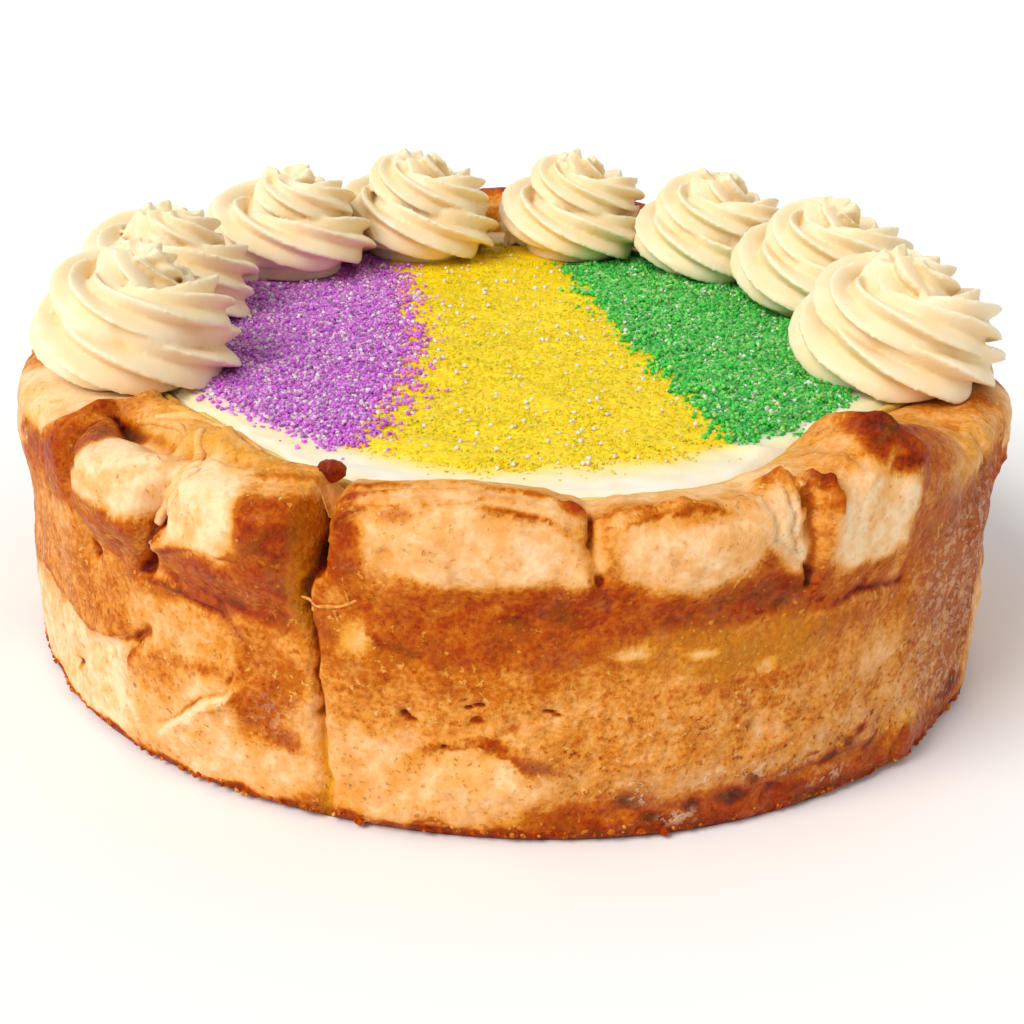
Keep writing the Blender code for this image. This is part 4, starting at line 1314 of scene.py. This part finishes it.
cover = sugar_cover(x, y, ragged, 0)
for name in ("purple", "yellow", "green"):
    noted(sheet, name, cover[name])
front = curve(SUGAR_FRONT, angle)
stain = 1 - step(radius + 0.6 * ragged, front - 3, front + 8)
noted(sheet, "stain", stain * (cover["purple"] + cover["green"] == 0))
under_sugar = cover["purple"] + cover["yellow"] + cover["green"]
spots = places(sheet)
spots[:, 2] += np.where(line >= 4, under_sugar * (0.35 + 0.75 * heaps(x, y)), 0) * MM
put(sheet, spots)
sealed(sheet)


def spread_icing():
    """White icing with a soft sheen. Fine sugar lies packed on it in three colours, over the bled dye."""
    icing = Finish(
        "white_icing",
        Subsurface_Weight=0.4,
        Subsurface_Scale=0.003,
        Coat_Weight=0.06,
        Specular_IOR_Level=0.2,
    )
    icing.shader.inputs["Subsurface Radius"].default_value = (1.0, 0.8, 0.5)
    broad = icing.speckle(7.0, 3.0)
    fine = icing.speckle(0.9, 4.0, 0.6)
    grains = icing.cells(0.75)
    grain_tone = icing.node("ShaderNodeSeparateColor", Color=icing.cells(0.75, out="Color"))
    colour = icing.blend(broad.between(0.35, 0.7), (0.92, 0.82, 0.60), (0.93, 0.87, 0.74))
    colour = icing.blend(icing.kept("stain") * (0.35 + broad * 0.9), colour, (0.93, 0.78, 0.22))
    yellow = icing.ramp(
        grain_tone, ((0.0, (1.0, 0.58, 0.0)), (0.5, (1.0, 0.68, 0.0)), (1.0, (1.0, 0.80, 0.03)))
    )
    purple = icing.ramp(
        grain_tone, ((0.0, (0.38, 0.05, 0.44)), (0.6, (0.58, 0.12, 0.62)), (1.0, (0.80, 0.34, 0.82)))
    )
    green = icing.ramp(
        grain_tone, ((0.0, (0.006, 0.28, 0.03)), (0.6, (0.04, 0.48, 0.06)), (1.0, (0.24, 0.68, 0.16)))
    )
    colour = icing.blend((icing.kept("yellow") * (0.7 + broad)).held(), colour, yellow)
    colour = icing.blend((icing.kept("purple") * 1.2).held(), colour, purple)
    colour = icing.blend((icing.kept("green") * 1.2).held(), colour, green)
    covered = icing.kept("yellow") + icing.kept("purple") + icing.kept("green")
    height = (fine * 0.3 + broad * 0.3) * (1 - covered * 0.8)
    height = height + (1 - grains) * (covered - icing.kept("yellow") * 0.75) * 0.7
    return icing.wear(Base_Color=colour, Roughness=0.36 + fine * 0.2, Normal=icing.relief(height, 0.3))


icing = shown(sheet, "icing_spread", spread_icing())
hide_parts("icing")


# The sugar.
# Sanding sugar dyed purple, yellow and green, with clear crystals among it, shaken over the soft icing in
# three strips that run from front to back and mix a little where they meet.
# It stops a little way in under the rosettes.
# Each rosette: the angle and the radius at which it stands, the radius of its foot and its height.
ROSETTES = (
    (-69.5, 90.5, 23.4, 27.6),
    (-98.0, 86.5, 22.4, 25.4),
    (-131.0, 80.5, 21.4, 26.2),
    (-159.0, 80.5, 21.2, 26.6),
    (170.5, 83.0, 20.2, 26.8),
    (143.8, 85.5, 20.8, 26.2),
    (116.5, 85.0, 23.2, 27.4),
    (82.0, 87.5, 25.0, 28.2),
)
# For each sugar: grains, smallest and largest half width, how high they heap.
SUGARS = {
    "purple": (15500, 0.26, 0.50, 0.9),
    "yellow": (12000, 0.17, 0.30, 0.2),
    "green": (15500, 0.28, 0.56, 1.2),
    "clear": (3200, 0.26, 0.52, 1.0),
}


def rosette_centre(number):
    angle, ring = ROSETTES[number - 1][:2]
    return Vector((ring * math.sin(math.radians(angle)), -ring * math.cos(math.radians(angle)), 0))


def crystal():
    """One grain: a cube with its corners knocked about."""
    bm = bmesh.new()
    bmesh.ops.create_cube(bm, size=2.0)
    knock = random.Random(4)
    for v in bm.verts:
        v.co *= knock.uniform(0.74, 1.0)
    bmesh.ops.triangulate(bm, faces=bm.faces)
    return bm


def sugar_finish(name, dark, body, light, stray):
    """Dyed crystals: each grain with its own depth of colour, small glints and light passing through."""
    sugar = Finish(
        name, Subsurface_Weight=0.8, Subsurface_Scale=0.0015, Coat_Weight=0.08, Specular_IOR_Level=0.2
    )
    sugar.shader.inputs["Subsurface Radius"].default_value = (1.0, 1.0, 1.0)
    tone = sugar.kept("tone")
    colour = sugar.ramp(tone, ((0.0, dark), (0.45, body), (0.82, light), (0.97, stray)))
    frost = sugar.speckle(0.35, 2.0)
    return sugar.wear(
        Base_Color=sugar.blend(frost.between(0.45, 0.8) * 0.3, colour, light),
        Roughness=0.16 + frost * 0.3,
        Normal=sugar.relief(frost, 0.06),
    )


SUGAR_COLOURS = {
    "purple": ((0.42, 0.05, 0.52), (0.76, 0.12, 0.84), (0.94, 0.42, 0.96), (0.95, 0.62, 0.48)),
    "yellow": ((1.0, 0.56, 0.0), (1.0, 0.66, 0.0), (1.0, 0.80, 0.02), (1.0, 0.93, 0.36)),
    "green": ((0.004, 0.25, 0.026), (0.03, 0.60, 0.050), (0.28, 0.80, 0.14), (0.76, 0.86, 0.28)),
    "clear": ((0.93, 0.60, 0.46), (0.93, 0.82, 0.74), (0.96, 0.93, 0.93), (0.98, 0.98, 0.98)),
}
rng = np.random.default_rng(11)
TRIED = 240000
x = rng.uniform(-80, 80, TRIED)
y = rng.uniform(-98, 84, TRIED)
ragged = roughened(np.stack([x, y, 0 * x], 1) * MM, 7.0, 4, 12) * 4.0
cover = sugar_cover(x, y, ragged, rng.normal(0, 4.2, TRIED))
unloosed = sugar_cover(x, y, ragged, 0)
under = unloosed["purple"] + unloosed["yellow"] + unloosed["green"]
heaped = heaps(x, y)
reach = curve(INNER_RADIUS, np.degrees(np.arctan2(x, -y))) - FILLING_RIM - 2.5
open_ground = (np.hypot(x, y) < reach).astype(float)
for number, (_, _, foot, _) in enumerate(ROSETTES, 1):
    centre = rosette_centre(number)
    open_ground = open_ground * (np.hypot(x - centre.x, y - centre.y) > foot * 0.78)
luck = rng.uniform(0, 1, TRIED)
strays_near = {"purple": x < between_rows(PURPLE_EDGE, y) + 6, "yellow": x < between_rows(GREEN_EDGE, y)}
for name, (grains, small, large, heap) in SUGARS.items():
    near = strays_near.get(name, False)
    wanted = cover[name] + cover["stray"] * near
    chosen = np.flatnonzero(luck < wanted * open_ground * (0.6 + 0.6 * heaped))
    chosen = rng.permutation(chosen)[:grains]
    size = rng.uniform(small, large, len(chosen))
    sizes = size[:, None] * rng.uniform(0.75, 1.2, (len(chosen), 3))
    stacked = heap * rng.uniform(0, 1, len(chosen)) ** 2
    lift = under[chosen] * (0.35 + 0.75 * heaped[chosen] + stacked * heaped[chosen])
    z = icing_height(x[chosen], y[chosen]) + (-0.45 if name == "yellow" else 0.2) * size + lift
    tone = np.clip(rng.normal(0.45, 0.20, len(chosen)) + 0.15 * (heaped[chosen] - 0.5), 0, 1)
    centres = np.stack([x[chosen], y[chosen], z], 1)
    scattered = strewn("sugar_" + name, crystal(), centres, sizes, rng, tone)
    sugar = shown(scattered, "sugar_" + name, sugar_finish(name + "_sugar", *SUGAR_COLOURS[name]))
    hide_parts("icing")


# The rosettes.
# Buttercream piped through an open star nozzle: a ribbed rope wound two and a bit turns, shrinking as it
# climbs and broken off in a ragged crown. Each was piped by hand, so each has its own start and turns.
RIBS = 6
ROPE_ROWS = 176
ROPE_SIDES = 96
CREAM_GRAIN = 0.5


def rib(share, deep):
    """The star's outline from one blade to the next above it: a broad face that dips to a narrow fold."""
    fold = 0.74
    t = 0.5 * share / fold if share < fold else 0.5 + 0.5 * (share - fold) / (1 - fold)
    soft = (math.sin(math.pi * t) ** 2 + 0.004) ** 0.6
    narrow = 1 - (math.cos(math.pi * t) ** 2 + 0.002) ** 0.42
    return 1 - deep * (0.65 * soft + 0.35 * narrow)


def piped(number, across, high):
    """One rosette at the origin: the wound rope, a core that closes its middle, and the ragged crown."""
    rng = random.Random(40 + number)
    rope = 0.385 * across
    turns = rng.uniform(2.25, 2.5)
    start = rng.uniform(0, math.tau)
    twist = rng.uniform(1.1, 1.3)
    phases = [rng.uniform(0, math.tau) for _ in range(6)]
    bm = bmesh.new()
    ring = rope_end(bm, ROPE_SIDES)
    for n in range(ROPE_ROWS + 1):
        if n:
            ring = drawn_out(bm, ring)
        u = n / ROPE_ROWS
        wind = -math.tau * turns * u
        thick = rope * (1 - 0.36 * u**1.5) * min(1.0, (u + 0.012) / 0.035) ** 0.5
        if u > 0.96:
            thick *= max(0.03, 1 - (u - 0.96) / 0.04 * 0.9)
        wide = across + (1.9 if 2 < number < 8 else 0.6) - rope * 0.98
        if u > 0.38:
            wide *= 1 - 0.88 * ((u - 0.38) / 0.62) ** 2.3
        wide = max(wide, 0.1) + 0.5 * math.sin(3 * wind + phases[0]) * (1 - u)
        climb = min(1, max(0, (u - 0.12) / 0.76)) ** 0.95
        lift = rope * 0.5 + (high - rope * 1.22) * climb + 0.35 * math.sin(2 * wind + phases[1])
        out = Vector((math.cos(start + wind), math.sin(start + wind), 0))
        for i, v in enumerate(ring):
            psi = math.tau * i / ROPE_SIDES
            wound = RIBS * (psi + twist * wind) / math.tau
            blade = math.floor(wound) % RIBS
            deep = 0.56 * (1 + 0.16 * math.sin(blade * 2.4 + phases[2]))
            r = thick * rib(wound % 1.0, deep) * (1 + 0.035 * math.sin(5 * wind + blade * 1.7 + phases[3]))
            rise = r * math.sin(psi)
            rise = lift + rise * (0.9 if rise < 0 else 1)
            v.co = (out * (wide + r * math.cos(psi)) + Vector((0, 0, rise))) * MM
    bmesh.ops.contextual_create(bm, geom=ring)
    crown = rope_end(bm, ROPE_SIDES)
    for n in range(21):
        if n:
            crown = drawn_out(bm, crown)
        grow, fall = min(1, n / 14), max(0, (n - 14) / 6)
        for i, v in enumerate(crown):
            psi = math.tau * i / ROPE_SIDES
            blade = 7 * (psi + 1.3 * grow) / math.tau
            tall = 1.3 * math.sin(2.1 * math.floor(blade) + phases[4]) * grow
            r = across * (0.47 - 0.21 * grow**1.5) * (1 - fall) * rib(blade % 1.0, 0.5 * (1 - fall)) + 0.3
            tip = high - 9.0 + 9.0 * grow + tall - 3.5 * fall
            v.co = Vector((r * math.cos(psi), r * math.sin(psi), tip)) * MM
    bmesh.ops.contextual_create(bm, geom=crown)
    core = bmesh.ops.create_uvsphere(bm, u_segments=40, v_segments=20, radius=1.0)["verts"]
    for v in core:
        v.co = Vector((v.co.x * 0.66, v.co.y * 0.66, max(v.co.z, -0.3) * 0.62 * high / across)) * across * MM
        v.co.z += 0.2 * high * MM
    bmesh.ops.recalc_face_normals(bm, faces=bm.faces)
    return bm


def softened(bm, name, grain, rounds):
    """One closed skin round overlapping shapes, as soft cream settles: a voxel remesh, lightly smoothed."""
    mesh = bpy.data.meshes.new(name)
    bm.to_mesh(mesh)
    bm.free()
    rough = bpy.data.objects.new(name, mesh)
    bpy.context.scene.collection.objects.link(rough)
    join = rough.modifiers.new("join", "REMESH")
    join.mode = "VOXEL"
    join.voxel_size = grain * MM
    join.use_smooth_shade = True
    ease = rough.modifiers.new("ease", "SMOOTH")
    ease.factor = 0.5
    ease.iterations = rounds
    made = bpy.data.meshes.new_from_object(rough.evaluated_get(bpy.context.evaluated_depsgraph_get()))
    bpy.data.objects.remove(rough)
    return made


def buttercream():
    """Ivory buttercream, satin skinned, with painted warm yellow shade in its valleys and a painted highlight
    on its ribs.
    """
    cream = Finish(
        "buttercream",
        Subsurface_Weight=0.35,
        Subsurface_Scale=0.0025,
        Coat_Roughness=0.2,
        Specular_IOR_Level=0.3,
    )
    cream.shader.inputs["Subsurface Radius"].default_value = (1.0, 0.65, 0.28)
    hollow = cream.kept("hollow")
    broad = cream.speckle(8.0, 2.0)
    fine = cream.speckle(0.7, 3.0)
    colour = cream.blend(broad.between(0.3, 0.7), (0.90, 0.72, 0.43), (0.92, 0.78, 0.54))
    # Painted shade: the valleys between the ribs are turned warm and yellow.
    colour = cream.blend(hollow.between(0.05, 0.9), colour, (0.90, 0.58, 0.14))
    # Painted highlight: the ribs are made paler.
    colour = cream.blend((0 - hollow).between(0.1, 0.8) * 0.6, colour, (0.93, 0.87, 0.74))
    return cream.wear(
        Base_Color=colour, Roughness=0.40 + fine * 0.12, Coat_Weight=0.10, Normal=cream.relief(fine, 0.05)
    )


cream = buttercream()
for number, (_, _, across_foot, high) in enumerate(ROSETTES, 1):
    swirl = softened(piped(number, across_foot, high), "swirl", CREAM_GRAIN, 5)
    spots = places(swirl) / MM
    own = rosette_centre(number)
    spots = spots + np.array([own.x, own.y, 0])
    for other in (number - 1, number + 1):
        if not 1 <= other <= len(ROSETTES):
            continue
        apart = rosette_centre(other) - own
        limit = apart.length * across_foot / (across_foot + ROSETTES[other - 1][2]) - 0.15
        away = np.array(apart.normalized())
        past = (spots - np.array(own)) @ away - limit
        spots = spots - np.outer(np.maximum(past, 0), away)
    spots[:, 2] = np.maximum(spots[:, 2], 0) + ICING_PLANE + 0.2
    put(swirl, spots * MM)
    swirl.shade_smooth()
    # How deep each point lies between the ribs, which the buttercream turns into painted shade and highlight.
    noted(swirl, "hollow", hollowness(swirl, 24))
    rosette = shown(swirl, "swirl_%d" % number, cream)
    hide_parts("rosette_%d" % number)


made_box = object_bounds()
sizes = {"cad": [list(corner) for corner in cad_box], "visual": [list(corner) for corner in made_box]}
